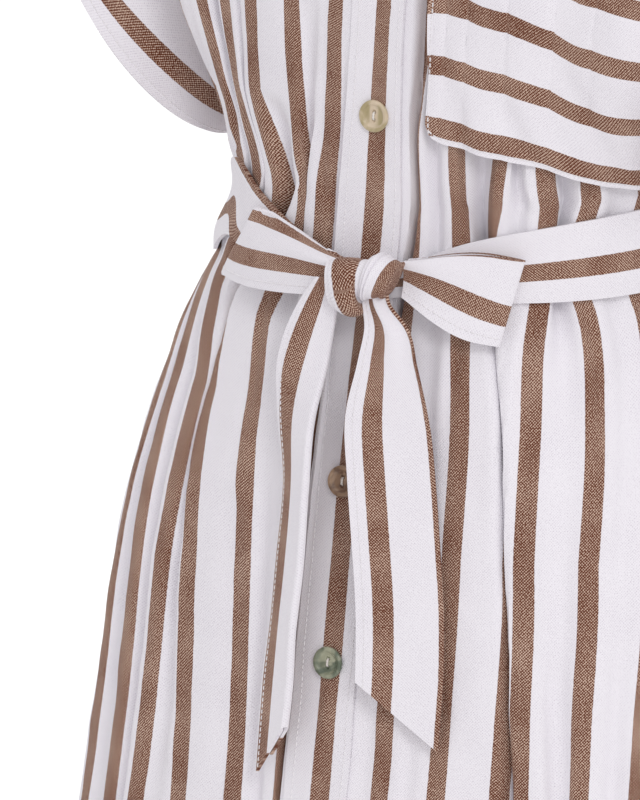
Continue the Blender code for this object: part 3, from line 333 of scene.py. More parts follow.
# The knot along its own length, from the lobe at the wearer's right to the band at the left: place along the
# waist, height of its middle, half height, half depth, slant of its top, stripe coordinate of its cloth.
KnotRing = namedtuple("KnotRing", "v along rise high deep slant stripe")
KNOT_SHAPE = (
    KnotRing(-1.00, -0.0170, -0.0045, 0.0040, 0.0030, -0.0010, -0.0120),
    KnotRing(-0.96, -0.0185, -0.0050, 0.0085, 0.0060, -0.0015, -0.0110),
    KnotRing(-0.80, -0.0165, -0.0062, 0.0120, 0.0095, -0.0028, -0.0080),
    KnotRing(-0.55, -0.0108, -0.0070, 0.0142, 0.0118, -0.0048, -0.0040),
    KnotRing(-0.28, -0.0040, -0.0050, 0.0128, 0.0112, -0.0040, 0.0030),
    KnotRing(-0.12, -0.0012, -0.0022, 0.0098, 0.0086, 0.0010, 0.0066),
    KnotRing(0.05, 0.0012, -0.0005, 0.0104, 0.0098, 0.0026, 0.0120),
    KnotRing(0.30, 0.0045, -0.0005, 0.0108, 0.0106, 0.0034, 0.0200),
    KnotRing(0.62, 0.0090, -0.0010, 0.0100, 0.0098, 0.0044, 0.0275),
    KnotRing(0.80, 0.0118, -0.0012, 0.0090, 0.0084, 0.0046, 0.0320),
    KnotRing(0.96, 0.0145, -0.0012, 0.0074, 0.0060, 0.0030, 0.0360),
    KnotRing(1.00, 0.0148, -0.0012, 0.0038, 0.0030, 0.0010, 0.0370),
)
KNOT_PLEATS = 4
KNOT_PLEAT_DEPTH = 0.0017
KNOT_PLEATED = (0.20, 0.44)          # middle and half of the pleated part, in v
KNOT_PLEAT_GATHER = 0.45             # its width at the foot, of that at the top
KNOT_ROUNDNESS = (0.90, 0.85)        # powers of its rings: upwards and outwards
KNOT_LENGTH_HALF = 0.03              # cloth of half a turn round it


# ---------------------------------------------------------------- sizes of the finish

STRIPE_SHIFT = 0.002                 # the placket's stripe lies this far to the wearer's left of its middle
SLEEVE_STRIPE = 0.019                # middle of the sleeve's first stripe from its mouth
POCKET_STRIPE = 0.0083               # middle of the pocket's first stripe above its foot
STAND_STRIPE = 0.003                 # middle of the stripe above the foot of the collar's stand
FALL_STRIPE = 0.018                  # and from the edge of its fall
# Stripe coordinate across a piece of the belt, from its foot (v = -0.5) to its top edge (v = 0.5).
LOOP_LANES = {
    "loop_right": ((-0.5, 0.0155), (0.24, -0.0180), (0.30, -0.0277), (0.46, -0.0383), (0.5, -0.0395)),
    "loop_left": ((-0.5, 0.0155), (0.5, -0.0285)),
}
BELT_LANE_RIGHT = (0.725, 0.0306)    # at the wearer's right: scale, and middle of the stripe below the top edge
BELT_LANE_SIDE = 0.0225              # the same middle, round the side
BELT_LANE_TURN = (0.085, 0.030)      # where the one gives way to the other, and over what length
BELT_LANE_ENDS = (0.03, 0.24, 0.05)  # both hold from the centre front on over the first, up to the others
BELT_STRIPE = 0.0255                 # middle of the belt's stripe below its top edge
POCKET_CORNER = 0.009                # radius of the pocket's foot corners
SIDE_MITRE = 0.5                     # how far an inner face stops short at a side seam, as a share of WALL
ARMHOLE_MITRE = 1.1
SHOULDER_MITRE = 2.0
SEAM_CALM = 0.014                    # creases die out this near a seam
CREASE_WAVER = 0.35                  # how far a crease strays from its line, as a share of its half width
CREASE_WAVES = (5.0, 90.0)           # how often it strays over its length, and how its start varies with it
CREASE_END = 0.06                    # it starts up over this share of its length
CREASE_FADE = 0.8
CREASE_LIP = 0.55                    # height of the lip beside a crease, and its place in half widths
CREASE_LIP_PLACE = 1.1
RUMPLE_LENGTHS = (0.070, 0.052, 0.041, 0.030, 0.023, 0.017, 0.012)   # from crest to crest
RUMPLE_SLOPE = 0.0055                # height of a rumple, as a share of its length
RUMPLE_LEAN = 1.1                    # radians, to both sides of straight down the cloth
RUMPLE_STRETCH = 0.45                # rumples are longer along the cloth than across it
RUMPLE_BEND = (1.4, 0.37, 0.81, 0.6)   # how far they bend, the rates of two bends, the second one's share
RUMPLE_PATCH = 0.23                  # the rate at which they come and go
THREAD_RADIUS = 0.00035
STITCH_PITCH = 0.0030
STITCH_SHARE = 0.78                  # of the pitch, how long a stitch is
THREAD_WHITE = "#F4F2F4"
THREAD_CREAM = "#E9E4DC"
STITCH_SIDES = 4
# A stitch: along it, out from the cloth, radius, all as shares of its half length and its thread's radius.
STITCH_PROFILE = ((-1.0, -0.9, 0.5), (-0.75, 0.3, 1.0), (0.75, 0.3, 1.0), (1.0, -0.9, 0.5))
THREADS = "Threads"                  # UV map: stripe coordinate and length, in metres on the cloth
SHARP_ANGLE = 50.0                   # degrees between two faces, from which on their edge is sharp

# Steps of the grids.
RING_STEPS = 481                     # points on half a ring of the form
EVENED_ROWS = 5
ROW_SHIFT = 10.0                     # more than any row's values reach, so that shifted rows don't overlap
FRONT_COLUMNS = 118
PLACKET_COLUMNS = 16
BACK_COLUMNS = 112
POCKET_COLUMNS = 84
POCKET_ROWS = 70
POCKET_TABLE_ROWS = 90
SLEEVE_COLUMNS = 160
SLEEVE_ROWS = 66
COLLAR_COLUMNS = 150
STAND_ROWS = 10
FALL_ROWS = 30
BELT_COLUMNS = 240
BELT_ROWS = 20
LOOP_ROWS = 24
LOOP_SEAM_ROW = 2                    # its stitches follow this one
LOOP_COLUMNS = 90
KNOT_RINGS = 110
KNOT_STEPS = 64
TAIL_COLUMNS = 44
TAIL_POINT_ROWS = 12
TAIL_ROWS = 110
BUTTON_RINGS = 40
BUTTON_STEPS = 64
BUTTON_THREAD_RINGS = 15
BUTTON_THREAD_STEPS = 10
BESIDE = np.array([-0.001, 0.0, 0.001])   # a narrow strip round a line, for its normals


def spread(*segments):
    """One row of values from (start, end, parts) segments, each split evenly, and the last end."""
    parts = [np.linspace(start, end, count, endpoint=False) for start, end, count in segments]
    return np.concatenate(parts + [[segments[-1][1]]])


# Levels of the rows of the panels and of the placket, which stops a little short of both ends.
ROW_LEVELS = spread((HEM, -0.70, 52), (-0.70, -0.45, 60), (-0.45, -0.39, 20), (-0.39, 0.0, 84))
PLACKET_LEVELS = spread((HEM + 0.0005, -0.70, 60), (-0.70, -0.39, 110), (-0.39, -0.0008, 120))

# The woven cloth, in millimetres, and its yarns.
STRIPE_PERIOD = 33.0
STRIPE_WIDTH = 10.5
WEAVE_PERIOD = 1.5                   # two yarns each way, drawn coarser than the real ones of 0.5 mm to show
BROWN_YARN = "#602F19"
BROWN_CROSSED = "#D8BDA9"
WHITE_YARN = "#EDEBEF"
WHITE_GAP = "#D3CED6"
# Pale and deep tint of each kind of shell. The buttons take them in turn from the collar down.
SHELL_TINTS = (
    ("#CFC0A6", "#8A8562"),
    ("#B99C80", "#6F5442"),
    ("#A9AC93", "#5F6A58"),
    ("#D3C2A8", "#A99B74"),
)

# The stage: how far the camera stands round to the wearer's left and up, its turn, all in degrees, the
# point it looks at and how far away it is.
VIEW_TURN = 29.0
VIEW_LIFT = 11.0
VIEW_ROLL = 4.5
VIEW_MIDDLE = (-0.0514, -0.0285, -0.5082)
VIEW_DISTANCE = 4.5
LENS = 405.0                         # millimetres
SENSOR = 36.0
FLOOR_Z = -1.45
FLOOR_HALF = 1.4
FLOOR_WHITE = "#F4F3F2"
SKY_BACK = 1.10                      # light from behind, which also is the backdrop
SKY_FRONT = (0.46, 1.02)             # light from the front: on the dark side and on the bright side
SKY_BRIGHT_WAY = (0.60, -0.60, 0.50)
SKY_SHADE = "#F3F0F3"
LAMP_AIM = (0.0, 0.0, -0.45)
# Name, place, diameter and power in watts.
LAMPS = (
    ("key lamp", (2.4, -2.6, 1.6), 1.2, 31.0),
)

# Half the outline of a button from the middle of its face to its back: radius and height, as shares.
BUTTON_OUTLINE = (
    (0.0, 0.52), (0.55, 0.52), (0.66, 0.64), (0.74, 0.92), (0.86, 1.0), (0.96, 0.86), (1.0, 0.55), (0.94, 0.0),
)
BUTTON_HOLE = 0.00105                # radius
BUTTON_HOLE_APART = 0.0042
BUTTON_HOLE_DEEP = 0.0011
BUTTON_HOLE_EDGE = (0.75, 0.35)      # its wall starts here and is this wide, in radii of a hole
BUTTON_THREAD_RADIUS = 0.00042
BUTTON_THREAD_WIDE = 1.5             # times as wide as it is high
BUTTON_THREAD_SEAT = 0.52            # of the thickness, how high it lies
BUTTON_THREAD_ARCH = 0.0006
BUTTON_SLOPE_OVER = 0.006            # a button takes the slope of the placket over this height
# The collar's button is in the middle of this patch of the stand: turn in degrees, and share of its height.
COLLAR_BUTTON = ((356.0, 360.0, 364.0), (0.3, 0.5, 0.7))

# Creases, each from one place to another on the cloth: across, level, across, level, half width and depth.
# A crease sinks on one side and stands up a little on the other.
Crease = namedtuple("Crease", "across_from level_from across_to level_to half depth")
CREASES_POCKET = (
    Crease(0.062, -0.395, 0.052, -0.300, 0.0100, 0.0024),
    Crease(0.104, -0.395, 0.080, -0.270, 0.0120, 0.0020),
    Crease(0.140, -0.390, 0.128, -0.290, 0.0110, 0.0014),
)
CREASES_LEFT = (
    Crease(0.024, -0.395, 0.030, -0.250, 0.006, 0.0014),
    Crease(0.070, -0.390, 0.078, -0.330, 0.006, 0.0016),
    Crease(0.118, -0.392, 0.112, -0.335, 0.006, 0.0018),
    Crease(0.165, -0.392, 0.158, -0.345, 0.005, 0.0015),
    Crease(0.190, -0.380, 0.176, -0.320, 0.006, 0.0018),
    Crease(0.030, -0.455, 0.036, -0.560, 0.005, 0.0013),
    Crease(0.066, -0.452, 0.060, -0.545, 0.006, 0.0018),
    Crease(0.093, -0.455, 0.100, -0.620, 0.007, 0.0016),
    Crease(0.133, -0.452, 0.128, -0.560, 0.006, 0.0018),
    Crease(0.166, -0.452, 0.176, -0.600, 0.006, 0.0018),
    Crease(0.200, -0.452, 0.196, -0.540, 0.006, 0.0018),
    Crease(0.150, -0.620, 0.166, -0.900, 0.012, 0.0022),
    Crease(0.060, -0.640, 0.048, -0.930, 0.012, 0.0020),
    Crease(0.215, -0.640, 0.222, -0.980, 0.014, 0.0024),
    Crease(0.045, -0.115, 0.110, -0.150, 0.012, 0.0015),
    Crease(0.205, -0.300, 0.120, -0.250, 0.012, 0.0020),
)
CREASES_RIGHT = (
    Crease(0.034, -0.392, 0.040, -0.300, 0.006, 0.0014),
    Crease(0.066, -0.392, 0.060, -0.330, 0.006, 0.0016),
    Crease(0.118, -0.392, 0.110, -0.300, 0.006, 0.0020),
    Crease(0.165, -0.390, 0.150, -0.330, 0.006, 0.0018),
    Crease(0.195, -0.380, 0.172, -0.310, 0.006, 0.0018),
    Crease(0.040, -0.455, 0.036, -0.520, 0.005, 0.0014),
    Crease(0.066, -0.455, 0.072, -0.560, 0.006, 0.0018),
    Crease(0.120, -0.452, 0.126, -0.600, 0.007, 0.0018),
    Crease(0.160, -0.452, 0.164, -0.560, 0.006, 0.0016),
    Crease(0.200, -0.452, 0.206, -0.600, 0.006, 0.0018),
    Crease(0.125, -0.600, 0.118, -0.860, 0.012, 0.0020),
    Crease(0.070, -0.560, 0.078, -0.800, 0.012, 0.0018),
    Crease(0.215, -0.620, 0.225, -0.960, 0.014, 0.0024),
    Crease(0.050, -0.120, 0.115, -0.160, 0.012, 0.0015),
    Crease(0.200, -0.290, 0.110, -0.235, 0.012, 0.0020),
)
CREASES_BACK_LEFT = (
    Crease(0.035, -0.392, 0.030, -0.250, 0.007, 0.0018),
    Crease(0.070, -0.392, 0.062, -0.200, 0.008, 0.0018),
    Crease(0.105, -0.392, 0.110, -0.290, 0.007, 0.0018),
    Crease(0.170, -0.390, 0.150, -0.270, 0.008, 0.0020),
    Crease(0.205, -0.360, 0.130, -0.180, 0.012, 0.0022),
    Crease(0.036, -0.455, 0.044, -0.640, 0.007, 0.0018),
    Crease(0.104, -0.455, 0.098, -0.700, 0.008, 0.0020),
    Crease(0.172, -0.455, 0.182, -0.660, 0.008, 0.0020),
    Crease(0.075, -0.640, 0.066, -0.960, 0.014, 0.0022),
    Crease(0.200, -0.620, 0.214, -0.990, 0.014, 0.0022),
)
CREASES_BACK_RIGHT = (
    Crease(0.038, -0.392, 0.042, -0.270, 0.007, 0.0018),
    Crease(0.074, -0.392, 0.080, -0.310, 0.007, 0.0018),
    Crease(0.108, -0.392, 0.098, -0.220, 0.008, 0.0018),
    Crease(0.172, -0.390, 0.160, -0.300, 0.008, 0.0020),
    Crease(0.210, -0.340, 0.140, -0.200, 0.012, 0.0022),
    Crease(0.039, -0.455, 0.034, -0.600, 0.007, 0.0018),
    Crease(0.107, -0.455, 0.114, -0.720, 0.008, 0.0020),
    Crease(0.140, -0.455, 0.136, -0.580, 0.007, 0.0018),
    Crease(0.060, -0.620, 0.070, -0.940, 0.014, 0.0022),
    Crease(0.180, -0.640, 0.172, -0.970, 0.014, 0.0022),
)


# ---------------------------------------------------------------- the worn form

def smooth_steps(x, xs, ys):
    """Read a table at x, on cubic curves with the mean of the neighbours' slopes at each of its rows."""
    xs = np.asarray(xs, float)
    ys = np.asarray(ys, float)
    slopes = np.gradient(ys, xs)
    x = np.clip(x, xs[0], xs[-1])
    i = np.clip(np.searchsorted(xs, x, side="right") - 1, 0, len(xs) - 2)
    span = xs[i + 1] - xs[i]
    t = (x - xs[i]) / span
    rise = (2 * t ** 3 - 3 * t ** 2 + 1) * ys[i] + (3 * t ** 2 - 2 * t ** 3) * ys[i + 1]
    turn = (t ** 3 - 2 * t ** 2 + t) * slopes[i] + (t ** 3 - t ** 2) * slopes[i + 1]
    return rise + turn * span


def table_at(x, table, field, key):
    """One column of a table of named rows, read at x on smooth steps of its key column."""
    rows = sorted(table, key=lambda row: getattr(row, key))
    return smooth_steps(x, [getattr(row, key) for row in rows], [getattr(row, field) for row in rows])


def unit(vectors):
    """Vectors made one long."""
    return vectors / np.maximum(np.linalg.norm(vectors, axis=-1, keepdims=True), 1e-12)


def signed_power(value, power):
    """The power of a value that keeps the value's sign."""
    return np.sign(value) * np.abs(value) ** power


def bump(t):
    """A smooth hump, a squared cosine: one at t = 0 and nothing past -1 and 1."""
    return np.cos(np.clip(t, -1.0, 1.0) * np.pi / 2) ** 2


def ramp(t):
    """A smooth step from 0 at t = 0 to 1 at t = 1."""
    t = np.clip(t, 0.0, 1.0)
    return t * t * (3 - 2 * t)


def read_rows(x, xs, ys):
    """Read each row of a table at the same row of x. The rows are shifted apart and read in one go."""
    shift = ROW_SHIFT * np.arange(len(xs))[:, None]
    x = np.clip(x, xs[:, :1], xs[:, -1:])
    return np.interp((x + shift).ravel(), (xs + shift).ravel(), (ys + 0 * xs).ravel()).reshape(x.shape)


def ring_table(levels):
    """Turn, x, y and arc round a superellipse for each level, from the centre front to the centre back."""
    turn = np.linspace(0.0, np.pi, RING_STEPS)[None]
    level = np.minimum(levels, UNDERARM)[:, None]
    power = 2 / table_at(level, LEVELS, "roundness", "z")
    front_depth = table_at(level, LEVELS, "front_depth", "z")
    back_depth = table_at(level, LEVELS, "back_depth", "z")
    x = table_at(level, LEVELS, "half_width", "z") * signed_power(np.sin(turn), power)
    y = -np.where(turn < np.pi / 2, front_depth, back_depth) * signed_power(np.cos(turn), power)
    steps = np.hypot(np.diff(x, axis=1), np.diff(y, axis=1))
    arc = np.concatenate([0 * steps[:, :1], np.cumsum(steps, axis=1)], axis=1)
    return turn, x, y, arc


def ring_points(levels, arc):
    """Points at arcs from the centre front, a row for each level, positive towards the wearer's left."""
    turn, x, y, along = ring_table(levels)
    way = np.abs(arc)
    at = read_rows(way, along, turn)
    fade = np.clip((levels - TILT_FROM) / (WAIST - TILT_FROM), 0.0, 1.0)[:, None]
    rise = fade * WAIST_TILT * ((1 - np.cos(at)) / 2) ** TILT_POWER
    height = np.minimum(levels, UNDERARM)[:, None] + rise
    return np.stack([np.sign(arc) * read_rows(way, along, x), read_rows(way, along, y), height], axis=-1)


def ring_lengths(levels):
    """Half girth of the ring at each level, and its part from the centre front to the side seam."""
    half_girth = ring_table(levels)[3][:, -1]
    return half_girth, 2 * half_girth * table_at(np.minimum(levels, UNDERARM), LEVELS, "front_share", "z")


def cloth_edge(levels):
    """Across, at a panel's outer edge: the side seam, then the armhole."""
    flare = PANEL_WIDTH + table_at(np.minimum(levels, UNDERARM), LEVELS, "flare", "z")
    above = PANEL_WIDTH + (SHOULDER_CLOTH - PANEL_WIDTH) * (levels - UNDERARM) / -UNDERARM
    return np.where(levels <= UNDERARM, flare, above)


def fold_rows(side, levels):
    """Place, half width and taken-up cloth of each fold of half a panel, as arrays over the levels.

    side is front_left, front_right, back_left or back_right. Gathers share what the ring has no room for.
    """
    below = np.minimum(levels, UNDERARM)
    half_girth, to_seam = ring_lengths(below)
    room = to_seam if side.startswith("front") else half_girth - to_seam
    spare = PANEL_WIDTH + table_at(below, LEVELS, "flare", "z") - room
    rows = []
    for fold in {"front_left": LEFT_FOLDS, "front_right": RIGHT_FOLDS}.get(side, ()):
        take = np.maximum(smooth_steps(levels, FOLD_LEVELS, fold.takes), 0.0)
        place = smooth_steps(levels, PLACE_LEVELS, fold.places)
        lean = fold.lean * ramp((WAIST - levels) / 0.02 + 0.5)
        rows.append((place, np.interp(levels, HALF_LEVELS, fold.halves), take, lean))
        spare = spare - np.where(levels <= UNDERARM, take, fold.takes[FOLD_LEVELS.index(UNDERARM)])
    gathers = {"back_left": BACK_GATHERS_LEFT, "back_right": BACK_GATHERS_RIGHT}.get(side, FRONT_GATHERS)
    low = np.clip((WAIST - levels) / GATHER_DRIFT_HEIGHT, 0.0, 1.0)
    shares = np.array([g.share_high + (g.share_low - g.share_high) * low for g in gathers])
    narrow = (cloth_edge(levels) - NARROWING_FROM) / (PANEL_WIDTH - NARROWING_FROM)
    squeeze = np.where(levels > UNDERARM, narrow ** 2, 1.0)
    for gather, share in zip(gathers, shares / shares.sum(axis=0)):
        beyond = max(gather.place - NARROWING_FROM, 0.0)
        fade = np.interp(levels, *zip(*(EDGE_GATHER_FADE if beyond else GATHER_FADE)))
        half = gather.half * (squeeze if beyond else 1.0) + 0 * levels
        place = gather.place - beyond + squeeze * beyond
        rows.append((place, half, np.maximum(spare, 0.0) * fade * share, 0.0 * levels))
    return rows


def laid_out(side, across, levels):
    """Arc on the ring where cloth at a distance across lies, how deep the folds sink it, and how far it slides.

    A fold is a cosine trough. Its taken-up cloth sets its depth, and shortens the arc evenly over it. The
    floor of a fold that leans slides sideways under one of its lips, and is less deep.
    """
    arc = across.copy()
    dip = np.zeros_like(across)
    slide = np.zeros_like(across)
    for place, half, take, lean in fold_rows(side, levels):
        t = np.clip((across - place[:, None]) / half[:, None], -1.0, 1.0)
        hump = bump(t)
        arc -= take[:, None] * (0.5 + 0.5 * FOLD_POWER / (FOLD_POWER - 1) * (t - t ** FOLD_POWER / FOLD_POWER))
        slide += (take * PLEAT_SLIDE * lean)[:, None] * hump
        depth = half * np.minimum(DEEPEST_FOLD, np.sqrt(take / half / FOLD_LENGTH))
        flat = np.abs(lean)
        dip += (depth * (1 - (1 - PLEAT_DEPTH) * flat))[:, None] * hump ** (1 - 0.5 * flat[:, None])
    return arc, dip, slide


def neckline(share, back):
    """Top edge of half a panel, at a share of its cloth: quarter of the neck, then the shoulder seam."""
    cloth = share * SHOULDER_CLOTH
    turn = np.clip(cloth / NECK_HALF_WIDTH, 0.0, 1.0)
    along = np.clip((cloth - NECK_HALF_WIDTH) / (SHOULDER_CLOTH - NECK_HALF_WIDTH), 0.0, 1.0)
    bend = np.sqrt(np.maximum(1 - turn ** 2, 0.0))
    x = NECK_HALF_WIDTH * turn + (SHOULDER_POINT[0] - NECK_HALF_WIDTH) * along
    y = SHOULDER_Y + (NECK_BACK_DEPTH if back else -NECK_FRONT_DEPTH) * bend
    z = NECK_BACK_RISE * bend if back else -NECK_FRONT_DROP * bend ** NECK_FRONT_BEND
    return np.stack([x, y, z + SHOULDER_POINT[1] * along], axis=-1)


def armhole_edge(t, back):
    """Armhole edge from the underarm, t = 0, to the end of the shoulder seam, t = 1."""
    _, to_seam = ring_lengths(np.array([UNDERARM]))
    start = ring_points(np.array([UNDERARM]), to_seam[:, None])[0, 0]
    x = ARMHOLE_FOOT_X + (SHOULDER_POINT[0] - ARMHOLE_FOOT_X) * t ** ARMHOLE_FLARE
    x = x + (start[0] - ARMHOLE_FOOT_X) * (1 - t) ** 4
    pointed = np.sin(np.pi * t) ** ARMHOLE_POINTED
    rounded = np.sqrt(np.maximum(1 - np.abs(2 * t - 1) ** ARMHOLE_ROUNDED, 0.0))
    bow = ARMHOLE_HALF_DEPTH * np.where(t < 0.5, pointed, rounded)
    y = start[1] * (1 - t) + SHOULDER_Y * t + (bow if back else -bow)
    return np.stack([x, y, start[2] + (SHOULDER_POINT[1] - start[2]) * t], axis=-1)


def centre_line(t, back):
    """Centre front or centre back line from the underarm level to the neckline."""
    heights, depths = zip(*(CENTRE_BACK if back else CENTRE_FRONT))
    z = heights[0] + (heights[-1] - heights[0]) * t
    return np.stack([np.zeros_like(z), smooth_steps(z, heights, depths), z], axis=-1)


def upper_points(share, t, back):
    """Patch between the underarm ring, the neckline, the centre line and the armhole edge.

    share is 0 at the centre and 1 at the armhole, t is 0 at the underarm and 1 at the top. The two rulings
    are added and the mean of the corners is taken off, and then the swellings push the patch outwards.
    """
    half_girth, to_seam = ring_lengths(np.array([UNDERARM]))
    arc = half_girth - share * (half_girth - to_seam) if back else share * to_seam
    foot = ring_points(np.full(len(share), UNDERARM), arc)
    s = share[..., None]
    w = t[..., None]
    ends = np.array([0.0, 1.0])
    edge = armhole_edge(ends, back)
    top = neckline(ends, back)
    inner = (1 - w) * centre_line(ends, back)[0] + w * top[0]
    corners = (1 - s) * inner + s * ((1 - w) * edge[0] + w * top[1])
    reach = np.minimum(np.minimum(share, 1 - share), NECK_CORNER_SPREAD)
    soft = sum(neckline(share + reach * k, back) for k in (-1.0, -0.6, -0.2, 0.2, 0.6, 1.0)) / 6
    firm = ramp((w - NECK_CORNER_FIRM[0]) / NECK_CORNER_FIRM[1])
    patch = (1 - w) * foot + w * (soft + (neckline(share, back) - soft) * firm)
    patch += (1 - s) * centre_line(t, back) + s * armhole_edge(t, back) - corners
    push = np.zeros_like(share)
    for swell in (BACK_SWELLS if back else FRONT_SWELLS):
        tall = bump((t - swell.peak) / np.where(t < swell.peak, swell.low, swell.high))
        push += swell.height * tall * bump((share - swell.place) / swell.half)
    lean = np.clip(share, 0.0, 1.0) ** 2
    way = np.stack([SWELL_LEAN * lean, np.full_like(lean, 1.0 if back else -1.0), 0 * lean], axis=-1)
    return patch + push[..., None] * unit(way)


def grid_normals(grid, closed=False):
    """Unit normals of a grid of points: the way across, to the right, crossed with the way up."""
    up = np.gradient(grid, axis=0)
    if closed:
        wrapped = np.concatenate([grid[:, -1:], grid, grid[:, :1]], axis=1)
        along = (wrapped[:, 2:] - wrapped[:, :-2]) / 2
    else:
        along = np.gradient(grid, axis=1)
    return unit(np.cross(along, up))


def evened(normals):
    """Normals averaged with those of the EVENED_ROWS rows below and above."""
    padded = np.concatenate([normals[:1]] * EVENED_ROWS + [normals] + [normals[-1:]] * EVENED_ROWS)
    return unit(sum(padded[i:i + len(normals)] for i in range(2 * EVENED_ROWS + 1)))


def drifted(points):
    """Front points moved sideways, most at the centre front, to where the centre front hangs."""
    foot, top = DRIFT_TOP
    fade = ramp((top - points[..., 2]) / (top - foot))
    points[..., 0] += CENTRE_DRIFT * bump(points[..., 0] / DRIFT_REACH) * fade
    return points


def pinched(points):
    """Points at the wearer's right drawn in where the belt pinches the waist."""
    near = ramp((-points[..., 0] - PINCH_FROM) / PINCH_OVER)
    points[..., 0] += PINCH * near * bump((points[..., 2] - PINCH_HEIGHT) / PINCH_HALF)
    return points


def panel_form(arc, levels, edge, back):
    """Points of the form under a panel, at arcs from its centre line; edge is the arc of the panel's edge."""
    share = arc / edge
    half_girth, to_seam = (length[:, None] for length in ring_lengths(levels))
    skirt = ring_points(levels, half_girth - share * (half_girth - to_seam) if back else share * to_seam)
    t = np.clip((levels - UNDERARM) / -UNDERARM, 0.0, 1.0)[:, None] + 0 * share
    return np.where((levels < UNDERARM)[:, None, None], skirt, upper_points(share, t, back))


def half_panel(side, across, levels):
    """Outer face of half a panel with its folds: each point of the form, sunk by the fold's depth."""
    back = side.startswith("back")
    arc, dip, slide = laid_out(side, across, levels)
    edge = laid_out(side, cloth_edge(levels)[:, None], levels)[0]
    base = panel_form(arc, levels, edge, back)
    outward = evened(grid_normals(base)) * (-1 if back else 1)
    if np.any(slide):
        base = panel_form(arc + slide, levels, edge, back)
    return base - outward * dip[..., None]


# ---------------------------------------------------------------- small forms of the cloth

def creased(across, along, creases):
    """Height of creases: each sinks on its line, stands up a little beside it and fades towards its end."""
    height = np.zeros_like(across)
    waves, start = CREASE_WAVES
    for crease in creases:
        run = np.array([crease.across_to - crease.across_from, crease.level_to - crease.level_from])
        length = np.hypot(*run)
        x = across - crease.across_from
        y = along - crease.level_from
        way = (x * run[0] + y * run[1]) / length ** 2
        waver = CREASE_WAVER * np.sin(way * waves + length * start)
        aside = (x * run[1] - y * run[0]) / length / crease.half + waver
        fade = ramp(1 + way / CREASE_END) * (1 - np.clip(way, 0.0, 1.0)) ** CREASE_FADE
        height += crease.depth * fade * (CREASE_LIP * bump(aside - CREASE_LIP_PLACE) - bump(aside))
    return height


def rumpled(across, along, seed):
    """Height of the fine unevenness: waves of many lengths and ways, as high as they are long, and bent."""
    waves = np.random.default_rng(seed)
    bent, first, second, share = RUMPLE_BEND
    height = np.zeros_like(across)
    for length in RUMPLE_LENGTHS:
        way = waves.uniform(-RUMPLE_LEAN, RUMPLE_LEAN)
        start = waves.uniform(0.0, 2 * np.pi, 3)
        k = 2 * np.pi / length
        x = across * np.cos(way) + along * np.sin(way) * RUMPLE_STRETCH
        y = along * np.cos(way) - across * np.sin(way)
        bend = np.sin(first * k * y + start[0]) + share * np.sin(second * k * y + start[1])
        patches = np.sin(RUMPLE_PATCH * k * y + start[0])
        height += RUMPLE_SLOPE * length * np.sin(k * x + bent * bend + start[2]) * patches
    return height


def seam_fade(distance):
    """Nothing at a seam, rising to one within SEAM_CALM of it."""
    return ramp(distance / SEAM_CALM)


def panel_surface(side, across, levels):
    """Outer face of half a panel, folds, creases and rumples included. Right halves are mirrored ones."""
    creases = {
        "front_left": CREASES_LEFT, "front_right": CREASES_RIGHT,
        "back_left": CREASES_BACK_LEFT, "back_right": CREASES_BACK_RIGHT,
    }[side]
    points = half_panel(side, across, levels)
    level = levels[:, None] + 0 * across
    calm = seam_fade(cloth_edge(levels)[:, None] - across) * seam_fade(-levels)[:, None]
    fine = creased(across, level, creases) + rumpled(across, level, len(side) * 7 + 1)
    outward = grid_normals(points) * (-1 if side.startswith("back") else 1)
    points += (fine * calm)[..., None] * outward
    if side.endswith("right"):
        points[..., 0] *= -1
    return pinched(points)


def inset(grid):
    """Draw the edges of a panel in, so that two panels stand clear at their seam."""
    grid = grid.copy()
    for edge, inner in ((0, 1), (-1, -2)):
        grid[:, edge] += SEAM_GAP / 2 * unit(grid[:, inner] - grid[:, edge])
        grid[edge] += SEAM_GAP / 2 * unit(grid[inner] - grid[edge])
    return grid


# ---------------------------------------------------------------- meshes

def wall_faces(front, behind, closed):
    """Quads of a wall, from the numbers of the points of its outer and its inner face."""
    def quads(*corners):
        return np.stack(corners, axis=-1).reshape(-1, 4)
    parts = [
        quads(front[:-1, :-1], front[:-1, 1:], front[1:, 1:], front[1:, :-1]),
        quads(behind[:-1, :-1], behind[1:, :-1], behind[1:, 1:], behind[:-1, 1:]),
        quads(front[0, :-1], behind[0, :-1], behind[0, 1:], front[0, 1:]),
        quads(front[-1, 1:], behind[-1, 1:], behind[-1, :-1], front[-1, :-1]),
    ]
    if not closed:
        parts.append(quads(front[1:, 0], behind[1:, 0], behind[:-1, 0], front[:-1, 0]))
        parts.append(quads(front[:-1, -1], behind[:-1, -1], behind[1:, -1], front[1:, -1]))
    return np.concatenate(parts)


def make_mesh(name, points, faces, material, threads=None, thread_faces=None):
    """An object from whole arrays: points, quads and the UV of the threads by corner."""
    mesh = bpy.data.meshes.new(name)
    points = np.ascontiguousarray(points.reshape(-1, 3), dtype=np.float32)
    mesh.vertices.add(len(points))
    mesh.vertices.foreach_set("co", points.ravel())
    mesh.loops.add(faces.size)
    mesh.loops.foreach_set("vertex_index", faces.ravel().astype(np.int32))
    mesh.polygons.add(len(faces))
    mesh.polygons.foreach_set("loop_start", np.arange(0, faces.size, faces.shape[1], dtype=np.int32))
    mesh.materials.append(material)
    mesh.update(calc_edges=True)
    if threads is not None:
        layer = mesh.uv_layers.new(name=THREADS)
        corners = faces if thread_faces is None else thread_faces
        layer.data.foreach_set("uv", threads.reshape(-1, 2)[corners.ravel()].ravel().astype(np.float32))
    mesh.shade_smooth()
    mesh.set_sharp_from_angle(angle=np.radians(SHARP_ANGLE))
    if mesh.validate():
        raise RuntimeError(name + ": its mesh had faults")
    made = bpy.data.objects.new(name, mesh)
    bpy.context.scene.collection.objects.link(made)
    return made


